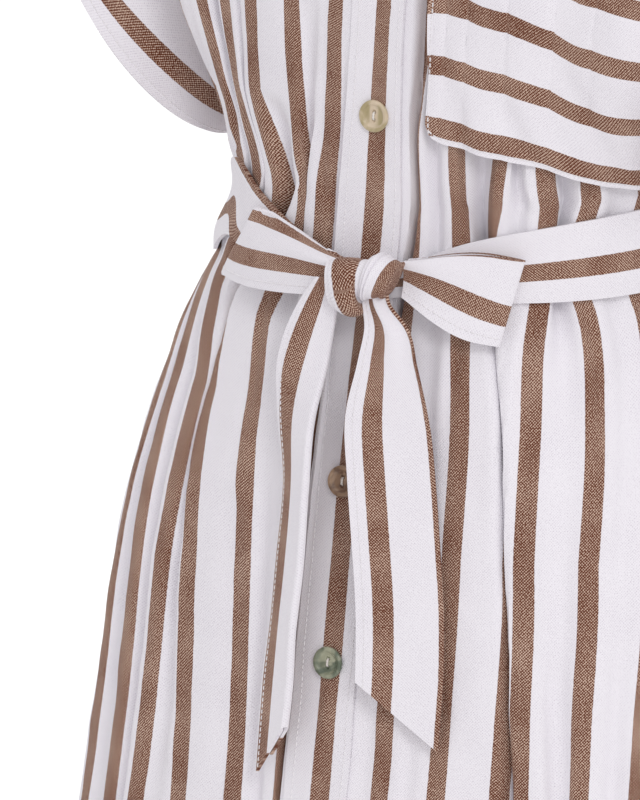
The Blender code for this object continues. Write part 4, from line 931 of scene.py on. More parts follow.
def wall(name, outer, threads, material, thickness=None, closed=False, inner=None, mitre=(0, 0, 0, 0)):
    """A wall of even thickness behind an outer face whose columns run to the right and whose rows run up.

    threads has one more column than outer round a closed piece. mitre draws the inner face back at the
    first and last column and the first and last row, as a share of the thickness.
    """
    rows, cols = outer.shape[:2]
    thickness = thickness or bpy.context.scene.dress_sizes.wall
    if inner is None:
        inner = outer - thickness * grid_normals(outer, closed)
        first_column, last_column, first_row, last_row = (thickness * np.asarray(share) for share in mitre)
        if not closed:
            inner[:, 0] += first_column * unit(outer[:, 1] - outer[:, 0])
            inner[:, -1] += last_column * unit(outer[:, -2] - outer[:, -1])
        inner[0] += first_row * unit(outer[1] - outer[0])
        inner[-1] += last_row * unit(outer[-2] - outer[-1])
    wide = cols + 1 if closed else cols
    front = np.arange(rows)[:, None] * cols + np.arange(wide)[None] % cols
    faces = wall_faces(front, front + rows * cols, closed)
    corners = np.arange(rows * wide).reshape(rows, wide)
    points = np.concatenate([outer.reshape(-1, 3), inner.reshape(-1, 3)])
    return make_mesh(name, points, faces, material, threads, wall_faces(corners, corners, closed))


def capped_tube(name, rings, material, threads=None):
    """A closed body from rings of an even number of points: walls between them and strips over both ends."""
    rows, count = rings.shape[:2]
    number = np.arange(rows * count).reshape(rows, count)
    turned = np.roll(number, -1, axis=1)
    walls = np.stack([number[:-1], turned[:-1], turned[1:], number[1:]], axis=-1).reshape(-1, 4)
    i = np.arange(count // 2 - 1)
    strip = np.stack([i, i + 1, count - 2 - i, count - 1 - i], axis=-1)
    faces = np.concatenate([walls, strip[:, ::-1], strip + (rows - 1) * count])
    points = rings.reshape(-1, 3)
    a, b, c, d = (points[faces[:, k]] for k in range(4))
    volume = np.sum(np.cross(b - a, c - a) * a) + np.sum(np.cross(c - a, d - a) * a)
    if volume < 0:
        faces = faces[:, ::-1]
    flat = None if threads is None else np.broadcast_to(threads, (rows, count, 2))
    return make_mesh(name, points, faces, material, flat)


def stitching(name, path, normals, material, pitch, length):
    """A row of stitches: at even steps along a path, a small four-sided thread that dips in at both ends."""
    step = np.linalg.norm(np.diff(path, axis=0), axis=1)
    way = np.concatenate([[0.0], np.cumsum(step)])
    count = int(way[-1] / pitch)
    middles = (np.arange(count) + 0.5) * pitch
    u = np.array(STITCH_PROFILE)
    at = middles[:, None] + (u[:, 0] * length / 2)[None]
    centre = np.stack([np.interp(at, way, path[:, axis]) for axis in range(3)], axis=-1)
    outward = unit(np.stack([np.interp(at, way, normals[:, axis]) for axis in range(3)], axis=-1))
    along = unit(np.gradient(centre, axis=1))
    aside = np.cross(along, outward)
    centre = centre + outward * (u[:, 1] * THREAD_RADIUS)[None, :, None]
    angle = np.linspace(0.0, 2 * np.pi, STITCH_SIDES, endpoint=False)
    ring = np.cos(angle)[:, None] * aside[:, :, None] + np.sin(angle)[:, None] * outward[:, :, None]
    points = centre[:, :, None] + THREAD_RADIUS * u[:, 2][None, :, None, None] * ring
    rings = len(u)
    number = np.arange(rings * STITCH_SIDES).reshape(rings, STITCH_SIDES)
    turned = np.roll(number, -1, axis=1)
    sides = np.stack([number[:-1], turned[:-1], turned[1:], number[1:]], axis=-1).reshape(-1, 4)
    faces = np.concatenate([sides, [number[0][::-1], number[-1]]])[:, ::-1]
    faces = faces[None] + (np.arange(count) * rings * STITCH_SIDES)[:, None, None]
    return make_mesh(name, points, faces.reshape(-1, 4), material)


# ---------------------------------------------------------------- materials

def linear(hex_colour):
    """sRGB hex colour to linear red, green, blue and alpha."""
    parts = np.array([int(hex_colour[i:i + 2], 16) for i in (1, 3, 5)]) / 255
    parts = np.where(parts <= 0.04045, parts / 12.92, ((parts + 0.055) / 1.055) ** 2.4)
    return (*parts, 1.0)


def add(tree, kind, settings=None, **links):
    """Add a node. settings go to its properties; links set its inputs to a value or to another's output."""
    node = tree.nodes.new(kind)
    for key, value in (settings or {}).items():
        setattr(node, key, value)
    for key, value in links.items():
        numbered = key[0] == "i" and key[1:].isdigit()
        socket = node.inputs[int(key[1:]) if numbered else key.replace("_", " ")]
        if isinstance(value, bpy.types.NodeSocket):
            tree.links.new(value, socket)
        else:
            socket.default_value = value
    return node


def new_material(name):
    """A material and its empty node tree, or None for the tree if the material was made before."""
    made = bpy.data.materials.get(name)
    if made:
        return made, None
    made = bpy.data.materials.new(name)
    made.use_nodes = True
    made.node_tree.nodes.clear()
    return made, made.node_tree


def plain_paint(name, colour, roughness):
    """Matt paint: one even colour with a faint unevenness."""
    made, tree = new_material(name)
    if tree:
        place = add(tree, "ShaderNodeTexCoord")
        cloud = add(tree, "ShaderNodeTexNoise", Vector=place.outputs["Object"], Scale=3.0)
        shade = add(tree, "ShaderNodeBump", Height=cloud.outputs["Fac"], Strength=0.02, Distance=0.01)
        surface = add(
            tree, "ShaderNodeBsdfPrincipled", Base_Color=linear(colour), Roughness=roughness,
            Normal=shade.outputs["Normal"])
        add(tree, "ShaderNodeOutputMaterial", Surface=surface.outputs["BSDF"])
    return made


def striped_cloth():
    """Cotton hopsack, yarn-dyed and woven: brown stripes in the warp, crossed by the white weft."""
    made, tree = new_material("striped cotton hopsack")
    if not tree:
        return made
    sizes = bpy.context.scene.dress_sizes
    colours = bpy.context.scene.dress_colours
    threads = add(tree, "ShaderNodeUVMap", {"uv_map": THREADS})
    # yarns wander 0.25 mm over 2 to 3 mm, so that the edges of a stripe are not ruled
    wander = add(tree, "ShaderNodeTexNoise", Vector=threads.outputs["UV"], Scale=420.0, Detail=1.0)
    millimetres = add(
        tree, "ShaderNodeVectorMath", {"operation": "SCALE"}, i0=threads.outputs["UV"], Scale=1000.0)
    split = add(tree, "ShaderNodeSeparateXYZ", Vector=millimetres.outputs[0])
    stray = add(
        tree, "ShaderNodeMath", {"operation": "MULTIPLY_ADD"}, i0=wander.outputs["Fac"], i1=0.5, i2=-0.25)
    across = add(tree, "ShaderNodeMath", {"operation": "ADD"}, i0=split.outputs["X"], i1=stray.outputs[0])
    # half of the spacing and of the width of the stripes, in millimetres; they fade out over 0.4 mm
    half_period = sizes.stripe_period * 500
    half_width = sizes.stripe_width * 500
    lane = add(tree, "ShaderNodeMath", {"operation": "PINGPONG"}, i0=across.outputs[0], i1=half_period)
    brown = add(
        tree, "ShaderNodeMapRange", {"interpolation_type": "SMOOTHSTEP"}, Value=lane.outputs[0],
        From_Min=half_width + 0.2, From_Max=half_width - 0.2, To_Min=0.0, To_Max=1.0)
    # warp and weft pass over each other: a chequer of yarns, drawn at WEAVE_PERIOD, coarser than it is
    turn = 2 * np.pi / WEAVE_PERIOD
    bent = add(tree, "ShaderNodeMath", {"operation": "MULTIPLY"}, i0=split.outputs["X"], i1=turn)
    warp = add(tree, "ShaderNodeMath", {"operation": "SINE"}, i0=bent.outputs[0])
    crossed = add(tree, "ShaderNodeMath", {"operation": "MULTIPLY"}, i0=split.outputs["Y"], i1=turn)
    weft = add(tree, "ShaderNodeMath", {"operation": "SINE"}, i0=crossed.outputs[0])
    chequer = add(tree, "ShaderNodeMath", {"operation": "MULTIPLY"}, i0=warp.outputs[0], i1=weft.outputs[0])
    slanted = add(tree, "ShaderNodeMath", {"operation": "SUBTRACT"}, i0=bent.outputs[0], i1=crossed.outputs[0])
    twill = add(tree, "ShaderNodeMath", {"operation": "SINE"}, i0=slanted.outputs[0])
    weave = add(
        tree, "ShaderNodeMath", {"operation": "MULTIPLY_ADD"},
        i0=twill.outputs[0], i1=0.45, i2=chequer.outputs[0])
    # no two yarns are dyed alike: a speckle of 0.8 mm, as fine as the yarns, and a slow cloud of 30 mm
    speckle = add(tree, "ShaderNodeTexNoise", Vector=threads.outputs["UV"], Scale=1300.0, Detail=1.0)
    cloud = add(tree, "ShaderNodeTexNoise", Vector=threads.outputs["UV"], Scale=35.0, Detail=2.0)
    rough = add(
        tree, "ShaderNodeMath", {"operation": "MULTIPLY_ADD"}, i0=speckle.outputs["Fac"], i1=3.4, i2=-1.7)
    mixed = add(tree, "ShaderNodeMath", {"operation": "ADD"}, i0=weave.outputs[0], i1=rough.outputs[0])
    slow = add(tree, "ShaderNodeMath", {"operation": "MULTIPLY_ADD"}, i0=cloud.outputs["Fac"], i1=1.2, i2=-0.6)
    yarns = add(tree, "ShaderNodeMath", {"operation": "ADD"}, i0=mixed.outputs[0], i1=slow.outputs[0])
    fleck = add(
        tree, "ShaderNodeMapRange", {"interpolation_type": "SMOOTHSTEP"}, Value=yarns.outputs[0],
        From_Min=-0.34, From_Max=1.10, To_Min=0.0, To_Max=1.0)
    dyed = add(
        tree, "ShaderNodeMix", {"data_type": "RGBA"}, Factor=fleck.outputs[0],
        i6=colours.brown_yarn, i7=colours.brown_crossed)
    # the white cloth lets a little shade through where its yarns stand apart
    pinhole = add(
        tree, "ShaderNodeMapRange", {"interpolation_type": "SMOOTHSTEP"}, Value=yarns.outputs[0],
        From_Min=-1.7, From_Max=0.0, To_Min=1.0, To_Max=0.0)
    bleached = add(
        tree, "ShaderNodeMix", {"data_type": "RGBA"}, Factor=pinhole.outputs[0],
        i6=colours.white_yarn, i7=colours.white_gap)
    colour = add(
        tree, "ShaderNodeMix", {"data_type": "RGBA"}, Factor=brown.outputs[0],
        i6=bleached.outputs[2], i7=dyed.outputs[2])
    grain = add(tree, "ShaderNodeBump", Height=yarns.outputs[0], Strength=0.22, Distance=0.00015)
    surface = add(
        tree, "ShaderNodeBsdfPrincipled", Base_Color=colour.outputs[2], Roughness=0.88,
        Normal=grain.outputs["Normal"])
    surface.inputs["Sheen Weight"].default_value = 0.06
    surface.inputs["Specular IOR Level"].default_value = 0.25
    add(tree, "ShaderNodeOutputMaterial", Surface=surface.outputs["BSDF"])
    return made


def shell(number):
    """River shell, sawn and polished: clouds of cream, green and brown under a thin gloss."""
    tint = number % len(SHELL_TINTS)
    made, tree = new_material("polished river shell %d" % (tint + 1))
    if not tree:
        return made
    pale, deep = SHELL_TINTS[tint]
    place = add(tree, "ShaderNodeTexCoord")
    # growth layers: bands about 13 mm wide, so that a button shows one or two, bent on their way
    layers = add(
        tree, "ShaderNodeTexNoise", Vector=place.outputs["Object"], Scale=75.0, Detail=2.5, Distortion=1.2)
    spread_out = add(
        tree, "ShaderNodeMapRange", {"interpolation_type": "SMOOTHSTEP"}, Value=layers.outputs["Fac"],
        From_Min=0.40, From_Max=0.62, To_Min=0.0, To_Max=1.0)
    colour = add(
        tree, "ShaderNodeMix", {"data_type": "RGBA"}, Factor=spread_out.outputs[0],
        i6=linear(pale), i7=linear(deep))
    surface = add(tree, "ShaderNodeBsdfPrincipled", Base_Color=colour.outputs[2], Roughness=0.32)
    surface.inputs["Coat Weight"].default_value = 0.25
    surface.inputs["Coat Roughness"].default_value = 0.18
    add(tree, "ShaderNodeOutputMaterial", Surface=surface.outputs["BSDF"])
    return made


def cotton_thread(colour):
    """Sewing thread, mercerised cotton: a soft gleam, twisted so fine that it reads as one tone."""
    made, tree = new_material("mercerised cotton thread " + colour[1:])
    if tree:
        place = add(tree, "ShaderNodeTexCoord")
        # its plies turn every 0.4 mm
        twist = add(tree, "ShaderNodeTexNoise", Vector=place.outputs["Object"], Scale=2500.0)
        tone = add(
            tree, "ShaderNodeMapRange", Value=twist.outputs["Fac"],
            From_Min=0.3, From_Max=0.7, To_Min=0.82, To_Max=1.0)
        dyed = add(
            tree, "ShaderNodeVectorMath", {"operation": "SCALE"}, i0=linear(colour)[:3], Scale=tone.outputs[0])
        surface = add(tree, "ShaderNodeBsdfPrincipled", Base_Color=dyed.outputs[0], Roughness=0.55)
        add(tree, "ShaderNodeOutputMaterial", Surface=surface.outputs["BSDF"])
    return made


def studio_sky(tree):
    """Even bright backdrop behind, and in front a soft light that is stronger from the upper left."""
    tree.nodes.clear()
    place = add(tree, "ShaderNodeTexCoord")
    turn = np.radians(VIEW_TURN)
    facing = add(
        tree, "ShaderNodeVectorMath", {"operation": "DOT_PRODUCT"}, i0=place.outputs["Generated"],
        i1=(np.sin(turn), -np.cos(turn), 0.0))
    front = add(
        tree, "ShaderNodeMapRange", {"interpolation_type": "SMOOTHSTEP"}, Value=facing.outputs["Value"],
        From_Min=-0.45, From_Max=0.15, To_Min=0.0, To_Max=1.0)
    bright = add(
        tree, "ShaderNodeVectorMath", {"operation": "DOT_PRODUCT"}, i0=place.outputs["Generated"],
        i1=SKY_BRIGHT_WAY)
    dark, light = SKY_FRONT
    soft = add(
        tree, "ShaderNodeMapRange", {"interpolation_type": "SMOOTHSTEP"}, Value=bright.outputs["Value"],
        From_Min=-0.5, From_Max=0.9, To_Min=dark, To_Max=light)
    level = add(
        tree, "ShaderNodeMix", {"data_type": "FLOAT"}, Factor=front.outputs[0], i2=SKY_BACK, i3=soft.outputs[0])
    tint = add(
        tree, "ShaderNodeMix", {"data_type": "RGBA"}, Factor=front.outputs[0],
        i6=(1.0, 1.0, 1.0, 1.0), i7=linear(SKY_SHADE))
    sky = add(tree, "ShaderNodeBackground", Color=tint.outputs[2], Strength=level.outputs[0])
    add(tree, "ShaderNodeOutputWorld", Surface=sky.outputs["Background"])


# ---------------------------------------------------------------- surfaces of the pieces

def panel_grid(start, columns):
    """Across values of half a panel from start to its edge, a row for each of ROW_LEVELS."""
    share = np.linspace(0.0, 1.0, columns)[None]
    return start + (cloth_edge(ROW_LEVELS)[:, None] - start) * share


def body_threads(across, levels, sign=1):
    """Stripe coordinate and length of the body cloth: the warp runs down the panel."""
    return np.stack([sign * across - STRIPE_SHIFT, levels + 0 * across], axis=-1)


def left_front_surface(across, levels):
    """Left front, run on past the centre front: its mirror image lies under the placket there."""
    points = panel_surface("front_left", np.abs(across), levels)
    points[..., 0] *= np.where(across < 0, -1, 1)
    return drifted(points)


def side_mitre(levels):
    """Mitre of a panel's outer edge on each row: the side seam's, then the armhole's."""
    armhole = np.interp(levels, (UNDERARM, -0.100, 0.0), (ARMHOLE_MITRE, ARMHOLE_MITRE, SIDE_MITRE))
    return np.where(levels < UNDERARM, SIDE_MITRE, armhole)[:, None]


def pocket_faces():
    """Inner and outer face of the pocket, and its threads.

    The form under the left front, without its folds, is lifted off. It is read between the pocket's foot,
    which is a curve over its width, and its straight top.
    """
    across = np.linspace(POCKET_INNER, POCKET_OUTER, POCKET_COLUMNS)
    shares = np.linspace(0.0, POCKET_TOP_SHARE, POCKET_TABLE_ROWS)
    levels = UNDERARM * (1 - shares)
    edge = laid_out("front_left", cloth_edge(levels)[:, None], levels)[0]
    arc = POCKET_ARC + across[None] - POCKET_INNER + 0 * shares[:, None]
    base = drifted(panel_form(arc, levels, edge, False))
    normals = grid_normals(base)
    level = levels[:, None] + 0 * arc
    sunk = POCKET_RUMPLE * rumpled(arc, level, POCKET_SEED) + creased(across + 0 * level, level, CREASES_POCKET)
    base += np.maximum(sunk, POCKET_SINK)[..., None] * normals
    way = (across - POCKET_INNER) / (POCKET_OUTER - POCKET_INNER)
    line = smooth_steps(way, *zip(*POCKET_FOOT))
    rest = np.clip(POCKET_CORNER - (across - POCKET_INNER), 0.0, POCKET_CORNER)
    foot = line + (POCKET_CORNER - np.sqrt(POCKET_CORNER ** 2 - rest ** 2)) / -UNDERARM
    rise = np.linspace(0.0, 1.0, POCKET_ROWS)[None]
    at = foot[:, None] + (POCKET_TOP_SHARE - foot)[:, None] * rise
    table = shares[None] + 0 * across[:, None]
    faces = []
    for gap in (POCKET_LIFT, POCKET_LIFT + WALL):
        raised = (base + gap * normals).transpose(1, 0, 2)
        face = np.stack([read_rows(at, table, raised[..., axis]) for axis in range(3)], axis=-1)
        faces.append(face.transpose(1, 0, 2))
    height = ((at - line[:, None]) * -UNDERARM).T
    threads = np.stack([POCKET_EASE * height - POCKET_STRIPE, across[None] + 0 * height], axis=-1)
    return *faces, threads


def sleeve_surface(turn, along, right):
    """Sleeve from the armhole, along = 0, to its mouth, along = 1.

    turn runs in degrees from the shoulder over the front to the underarm and up the back. Each line of the
    sleeve is a quadratic curve whose middle is pushed out near the shoulder.
    """
    angle = np.radians(turn)
    t = (1 + np.cos(angle)) / 2
    edge = np.where((turn > 180.0)[..., None], armhole_edge(t, True), armhole_edge(t, False))
    lean_in, lean_down = SLEEVE_MOUTH_LEAN
    mouth = np.stack([
        SLEEVE_MOUTH[0] + SLEEVE_MOUTH_HALF * np.cos(angle) * lean_in,
        -SLEEVE_MOUTH_DEPTH * np.sin(angle),
        SLEEVE_MOUTH[1] + SLEEVE_MOUTH_HALF * np.cos(angle) * lean_down,
    ], axis=-1)
    crown = SLEEVE_CROWN * np.cos(angle / 2) ** 2
    middle = (edge + mouth) / 2 + np.stack([crown, 0 * crown, SLEEVE_CROWN_RISE * crown], axis=-1)
    w = along[..., None]
    points = (1 - w) ** 2 * edge + 2 * w * (1 - w) * middle + w ** 2 * mouth
    return points * np.array([-1, 1, 1]) if right else points


def stand_points(turn, rise):
    """Collar stand: rises from the neckline and leans in; its outer end laps over the inner one."""
    angle = np.radians(turn)
    front = np.cos(angle) > 0
    bend = np.abs(np.cos(angle))
    x = NECK_HALF_WIDTH * np.sin(angle)
    y = SHOULDER_Y - np.where(front, NECK_FRONT_DEPTH, NECK_BACK_DEPTH) * np.cos(angle)
    z = np.where(front, -NECK_FRONT_DROP * bend ** NECK_FRONT_BEND, NECK_BACK_RISE * bend)
    lap = STAND_STEP * np.clip((turn - 180.0) / 180.0, 0.0, 1.0) - STAND_CLEAR - rise * STAND_LEAN
    top = z + STAND_CLEAR + rise * STAND_HEIGHT
    return np.stack([x + np.sin(angle) * lap, y - np.cos(angle) * lap, top], axis=-1)


def fall_surface(turn, along):
    """Collar fall: spreads and drops from the top of the stand, along = 0, to its edge, along = 1."""
    near = np.minimum(turn, 360.0 - turn)
    out = table_at(near, FALL_SHAPE, "out", "turn")
    drop = table_at(near, FALL_SHAPE, "drop", "turn")
    angle = np.radians(turn)
    away = np.stack([np.sin(angle), -np.cos(angle), 0 * angle], axis=-1)
    step = FALL_START + (out - FALL_START) * along ** FALL_BEND
    down = np.array([0, 0, 1.0]) * (FALL_LIFT - drop * along)[..., None]
    return stand_points(turn, np.ones_like(turn)) + away * step[..., None] + down


def belt_frame(arc, height, out):
    """Points at an arc round the waist, a height above the belt's middle and a distance outwards."""
    half_girth = ring_lengths(np.array([WAIST]))[0][0]
    arc = (arc + half_girth) % (2 * half_girth) - half_girth
    flat = arc.reshape(1, -1)
    level = np.array([WAIST])
    here = ring_points(level, flat).reshape(arc.shape + (3,))
    ahead = ring_points(level, flat + 0.0005).reshape(arc.shape + (3,))
    behind = ring_points(level, flat - 0.0005).reshape(arc.shape + (3,))
    outward = unit(np.cross(unit(ahead - behind), [0.0, 0.0, 1.0]))
    return pinched(here + outward * out[..., None] + np.array([0, 0, 1.0]) * height[..., None])


def belt_out(arc):
    """Distance of the belt's inner face from the gathers: more where it passes over the placket."""
    return BELT_CLEAR + BELT_OVER_BUTTON * np.exp(-(arc / BELT_OVER_WIDTH) ** 2)


def belt_band(arc, v):
    """Height on the belt band, v running from -0.5 at its foot to 0.5 at its top edge."""
    return table_at(arc, BELT_SHAPE, "rise", "arc") + 2 * v * table_at(arc, BELT_SHAPE, "half", "arc")


def loop_surface(loop, v, u):
    """Bow loop: v runs across the belt from its foot to its top edge, u from the knot round the end and back.

    Near the knot its cloth is pushed upwards and lies in pleats.
    """
    layout = LOOP_FRONT + ((1.0, LOOP_TIP),) + LOOP_BACK
    steps = np.linspace(0.0, 1.0, len(layout))
    share = smooth_steps(u, steps, [row[0] for row in layout])
    out = smooth_steps(u, steps, [row[1] for row in layout])
    opened = np.sin(np.minimum(share / loop.opens, 1.0) * np.pi / 2) ** LOOP_OPENING
    height = loop.throat + (loop.height - loop.throat) * opened
    held = (1 - np.clip(share, 0.0, 1.0)) ** LOOP_HOLD
    place = v + LOOP_SQUEEZE * held * (1 - 4 * v ** 2)
    turn, start = LOOP_PLEAT_WAVES
    out = out + LOOP_PLEAT * np.sin(turn * v + start) * held * (u < 0.5)
    upper = np.maximum(2 * v, 0.0) ** 2
    out = out - LOOP_CLOSE * (loop.side < 0) * upper * ramp((LOOP_END - u) / LOOP_NEAR_FADE)
    behind = LOOP_BEHIND * (loop.side < 0) * ramp((u - LOOP_END) / LOOP_FAR_FADE) * (1 - held)
    reach = loop.start + share * (loop.reach - loop.start) + loop.side * loop.lean * v * height * share
    arc = KNOT_ACROSS + loop.side * reach
    rise = loop.rise_in + (loop.rise_out - loop.rise_in) * share + behind
    return belt_frame(arc, rise + place * height, belt_out(arc) - BELT_CLEAR + out)


def knot_surface(v, turn):
    """Outer face of the knot: rings round its length, turn in radians from its front over its top.

    Pleats run round it, closer together at its foot than at its top.
    """
    arc = np.array([KNOT_ACROSS])
    centre = belt_frame(arc, np.zeros(1), belt_out(arc) + KNOT_OUT)[0]
    left, right = (belt_frame(arc + step, np.zeros(1), belt_out(arc))[0] for step in (0.001, -0.001))
    way = unit(left - right)
    outward = np.cross(way, [0.0, 0.0, 1.0])
    high = table_at(v, KNOT_SHAPE, "high", "v")
    deep = table_at(v, KNOT_SHAPE, "deep", "v")
    top = (1 + np.sin(turn)) / 2
    middle, half = KNOT_PLEATED
    spot = (v - middle) / (half * (KNOT_PLEAT_GATHER + (1 - KNOT_PLEAT_GATHER) * top))
    pleat = KNOT_PLEAT_DEPTH * np.abs(np.cos(np.pi * KNOT_PLEATS / 2 * spot)) * bump(spot)
    swell = 1 + pleat / high
    along = table_at(v, KNOT_SHAPE, "along", "v") + table_at(v, KNOT_SHAPE, "slant", "v") * np.sin(turn)
    rise = table_at(v, KNOT_SHAPE, "rise", "v") + high * swell * signed_power(np.sin(turn), KNOT_ROUNDNESS[0])
    out = deep * swell * signed_power(np.cos(turn), KNOT_ROUNDNESS[1])
    return centre + along[..., None] * way + out[..., None] * outward + rise[..., None] * np.array([0, 0, 1.0])


def tail_surface(table, long_side, v, z, folded=1.0):
    """Belt end: a ribbon whose middle, turn and width are read at each height, with a slanted end.

    Past the share folded of its width it turns back behind itself. Pleats run down it from the knot.
    """
    turn = np.radians(table_at(z, table, "turn", "z"))
    width = table_at(z, table, "width", "z")
    place = v + 0.5
    past = place - folded
    across = np.where(folded < 1.0, folded - np.sqrt(past ** 2 + TAIL_FOLD_ROUND), place) - folded / 2
    fade = ramp((z - table[0].z + TAIL_PLEAT_FALL) / TAIL_PLEAT_FALL)
    waves, start = TAIL_PLEAT_WAVES
    pleat = TAIL_PLEAT * np.sin(waves * v + start * long_side) * fade
    out = pleat - TAIL_FOLD_DEEP * (folded < 1.0) * ramp(past / TAIL_FOLD_OVER + 0.5)
    x = table_at(z, table, "x", "z") + np.cos(turn) * width * across + np.sin(turn) * out
    y = table_at(z, table, "y", "z") + np.sin(turn) * width * across - np.cos(turn) * out
    end = ramp((table[-2].z - z) / (table[-2].z - table[-1].z))
    return np.stack([x, y, z - TAIL_POINT_DROP * (0.5 + across / folded * long_side) * end], axis=-1)


def button_axes(normal):
    """The way to the side and the way up on a button's face."""
    side = unit(np.cross([0.0, 0.0, 1.0], normal))
    return side, np.cross(normal, side)


def button_face(seat, normal):
    """Rings of a button from the middle of its back round its edge to the middle of its face, with two pits."""
    side, up = button_axes(normal)
    radii, heights = (np.array(column) for column in zip(*BUTTON_OUTLINE))
    steps = np.concatenate([[0.0], np.cumsum(np.hypot(np.diff(radii), 0.3 * np.diff(heights)))])
    at = np.linspace(0.0, steps[-1], BUTTON_RINGS)
    radius = bpy.context.scene.dress_sizes.button_radius * np.interp(at, steps, radii)[::-1, None]
    height = BUTTON_THICKNESS * np.interp(at, steps, heights)[::-1, None]
    radius = np.maximum(radius, 0.0001)
    angle = np.linspace(0.0, 2 * np.pi, BUTTON_STEPS, endpoint=False)[None]
    x = radius * np.cos(angle)
    y = radius * np.sin(angle)
    apart = np.minimum(np.hypot(x, y - BUTTON_HOLE_APART / 2), np.hypot(x, y + BUTTON_HOLE_APART / 2))
    start, over = BUTTON_HOLE_EDGE
    pit = BUTTON_HOLE_DEEP * (1 - ramp((apart - start * BUTTON_HOLE) / (over * BUTTON_HOLE)))
    z = height - pit * (height > 0.2 * BUTTON_THICKNESS)
    return seat + x[..., None] * side + y[..., None] * up + z[..., None] * normal


def button_thread(name, seat, normal):
    """Pale thread: a flat strand that arches from hole to hole of a button and dips in at both ends."""
    side, up = button_axes(normal)
    t = np.linspace(-1.0, 1.0, BUTTON_THREAD_RINGS)[:, None]
    angle = np.linspace(0.0, 2 * np.pi, BUTTON_THREAD_STEPS, endpoint=False)[None]
    height = BUTTON_THICKNESS * BUTTON_THREAD_SEAT + 0.0001 + BUTTON_THREAD_ARCH * (1 - t ** 4 - t ** 8)
    x = BUTTON_THREAD_RADIUS * BUTTON_THREAD_WIDE * np.cos(angle)
    y = BUTTON_HOLE_APART / 2 * t
    z = height + BUTTON_THREAD_RADIUS * np.sin(angle)
    points = seat + (x + 0 * t)[..., None] * side + (y + 0 * angle)[..., None] * up + z[..., None] * normal
    return capped_tube(name, points, cotton_thread(THREAD_CREAM))


def run_lengths(points, axis=0):
    """Distance along a grid's lines from its first row or column."""
    steps = np.linalg.norm(np.diff(points, axis=axis), axis=-1)
    start = np.take(steps, [0], axis=axis) * 0
    return np.concatenate([start, np.cumsum(steps, axis=axis)], axis=axis)


# ---------------------------------------------------------------- camera and lamps

def place_camera():
    """A long lens that looks at VIEW_MIDDLE from VIEW_TURN round and VIEW_LIFT up, turned by VIEW_ROLL."""
    turn = np.radians(VIEW_TURN)
    lift = np.radians(VIEW_LIFT)
    toward = np.array([np.sin(turn) * np.cos(lift), -np.cos(turn) * np.cos(lift), np.sin(lift)])
    aside = np.array([np.cos(turn), np.sin(turn), 0.0])
    upward = np.cross(toward, aside)
    roll = np.radians(VIEW_ROLL)
    right = np.cos(roll) * aside + np.sin(roll) * upward
    top = np.cos(roll) * upward - np.sin(roll) * aside
    data = bpy.data.cameras.new("camera")
    data.lens = LENS
    data.sensor_width = SENSOR
    data.clip_end = 50.0
    camera = bpy.data.objects.new("camera", data)
    bpy.context.scene.collection.objects.link(camera)
    place = np.array(VIEW_MIDDLE) + toward * VIEW_DISTANCE
    placed = np.vstack([np.column_stack([right, top, toward, place]), [0, 0, 0, 1]])
    camera.matrix_world = Matrix(placed.tolist())
    bpy.context.scene.camera = camera


def hang_lamps():
    """Round soft lamps, each turned towards the waist."""
    for name, spot, size, power in LAMPS:
        light = bpy.data.lights.new(name, "AREA")
        light.shape = "DISK"
        light.size = size
        light.energy = power
        lamp = bpy.data.objects.new(name, light)
        bpy.context.scene.collection.objects.link(lamp)
        lamp.location = spot
        lamp.rotation_euler = (Vector(LAMP_AIM) - Vector(spot)).to_track_quat("-Z", "Y").to_euler()


# ---------------------------------------------------------------- making the pieces

class DressSizes(PropertyGroup):
    """Sizes of the dress that a user may change."""
    wall: FloatProperty(
        name="Cloth", description="Thickness of one layer of cloth",
        default=WALL, min=0.0005, max=0.003, unit="LENGTH")
    stripe_period: FloatProperty(
        name="Stripe spacing", description="From the middle of a stripe to the next",
        default=STRIPE_PERIOD / 1000, min=0.005, max=0.1, unit="LENGTH")
    stripe_width: FloatProperty(
        name="Stripe width", description="Width of a brown stripe",
        default=STRIPE_WIDTH / 1000, min=0.001, max=0.05, unit="LENGTH")
    button_radius: FloatProperty(
        name="Button radius", description="Radius of the buttons",
        default=BUTTON_RADIUS, min=0.005, max=0.0085, unit="LENGTH")
    stitch_pitch: FloatProperty(
        name="Stitch length", description="From one stitch to the next",
        default=STITCH_PITCH, min=0.002, max=0.006, unit="LENGTH")


class DressColours(PropertyGroup):
    """Colours of the dress that a user may change."""
    brown_yarn: FloatVectorProperty(
        name="Brown yarn", description="Dyed warp yarn of the stripes",
        default=linear(BROWN_YARN), size=4, min=0.0, max=1.0, subtype="COLOR")
    brown_crossed: FloatVectorProperty(
        name="Crossed yarn", description="White weft where it passes over the stripes",
        default=linear(BROWN_CROSSED), size=4, min=0.0, max=1.0, subtype="COLOR")
    white_yarn: FloatVectorProperty(
        name="White yarn", description="Bleached yarn of the ground",
        default=linear(WHITE_YARN), size=4, min=0.0, max=1.0, subtype="COLOR")
    white_gap: FloatVectorProperty(
        name="Shade in the weave", description="Tone between the white yarns",
        default=linear(WHITE_GAP), size=4, min=0.0, max=1.0, subtype="COLOR")


def sewn_line(name, path, normals):
    """A row of white stitches along a path that lies on a piece's outer face."""
    pitch = bpy.context.scene.dress_sizes.stitch_pitch
    made = stitching(name, path, normals, cotton_thread(THREAD_WHITE), pitch, pitch * STITCH_SHARE)
    return finish_piece(made)


def finish_piece(made, *nodes, slot=None):
    """Put a piece on the body, in place of its CAD nodes."""
    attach(made, "root")
    if nodes:
        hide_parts(*nodes)
    return made


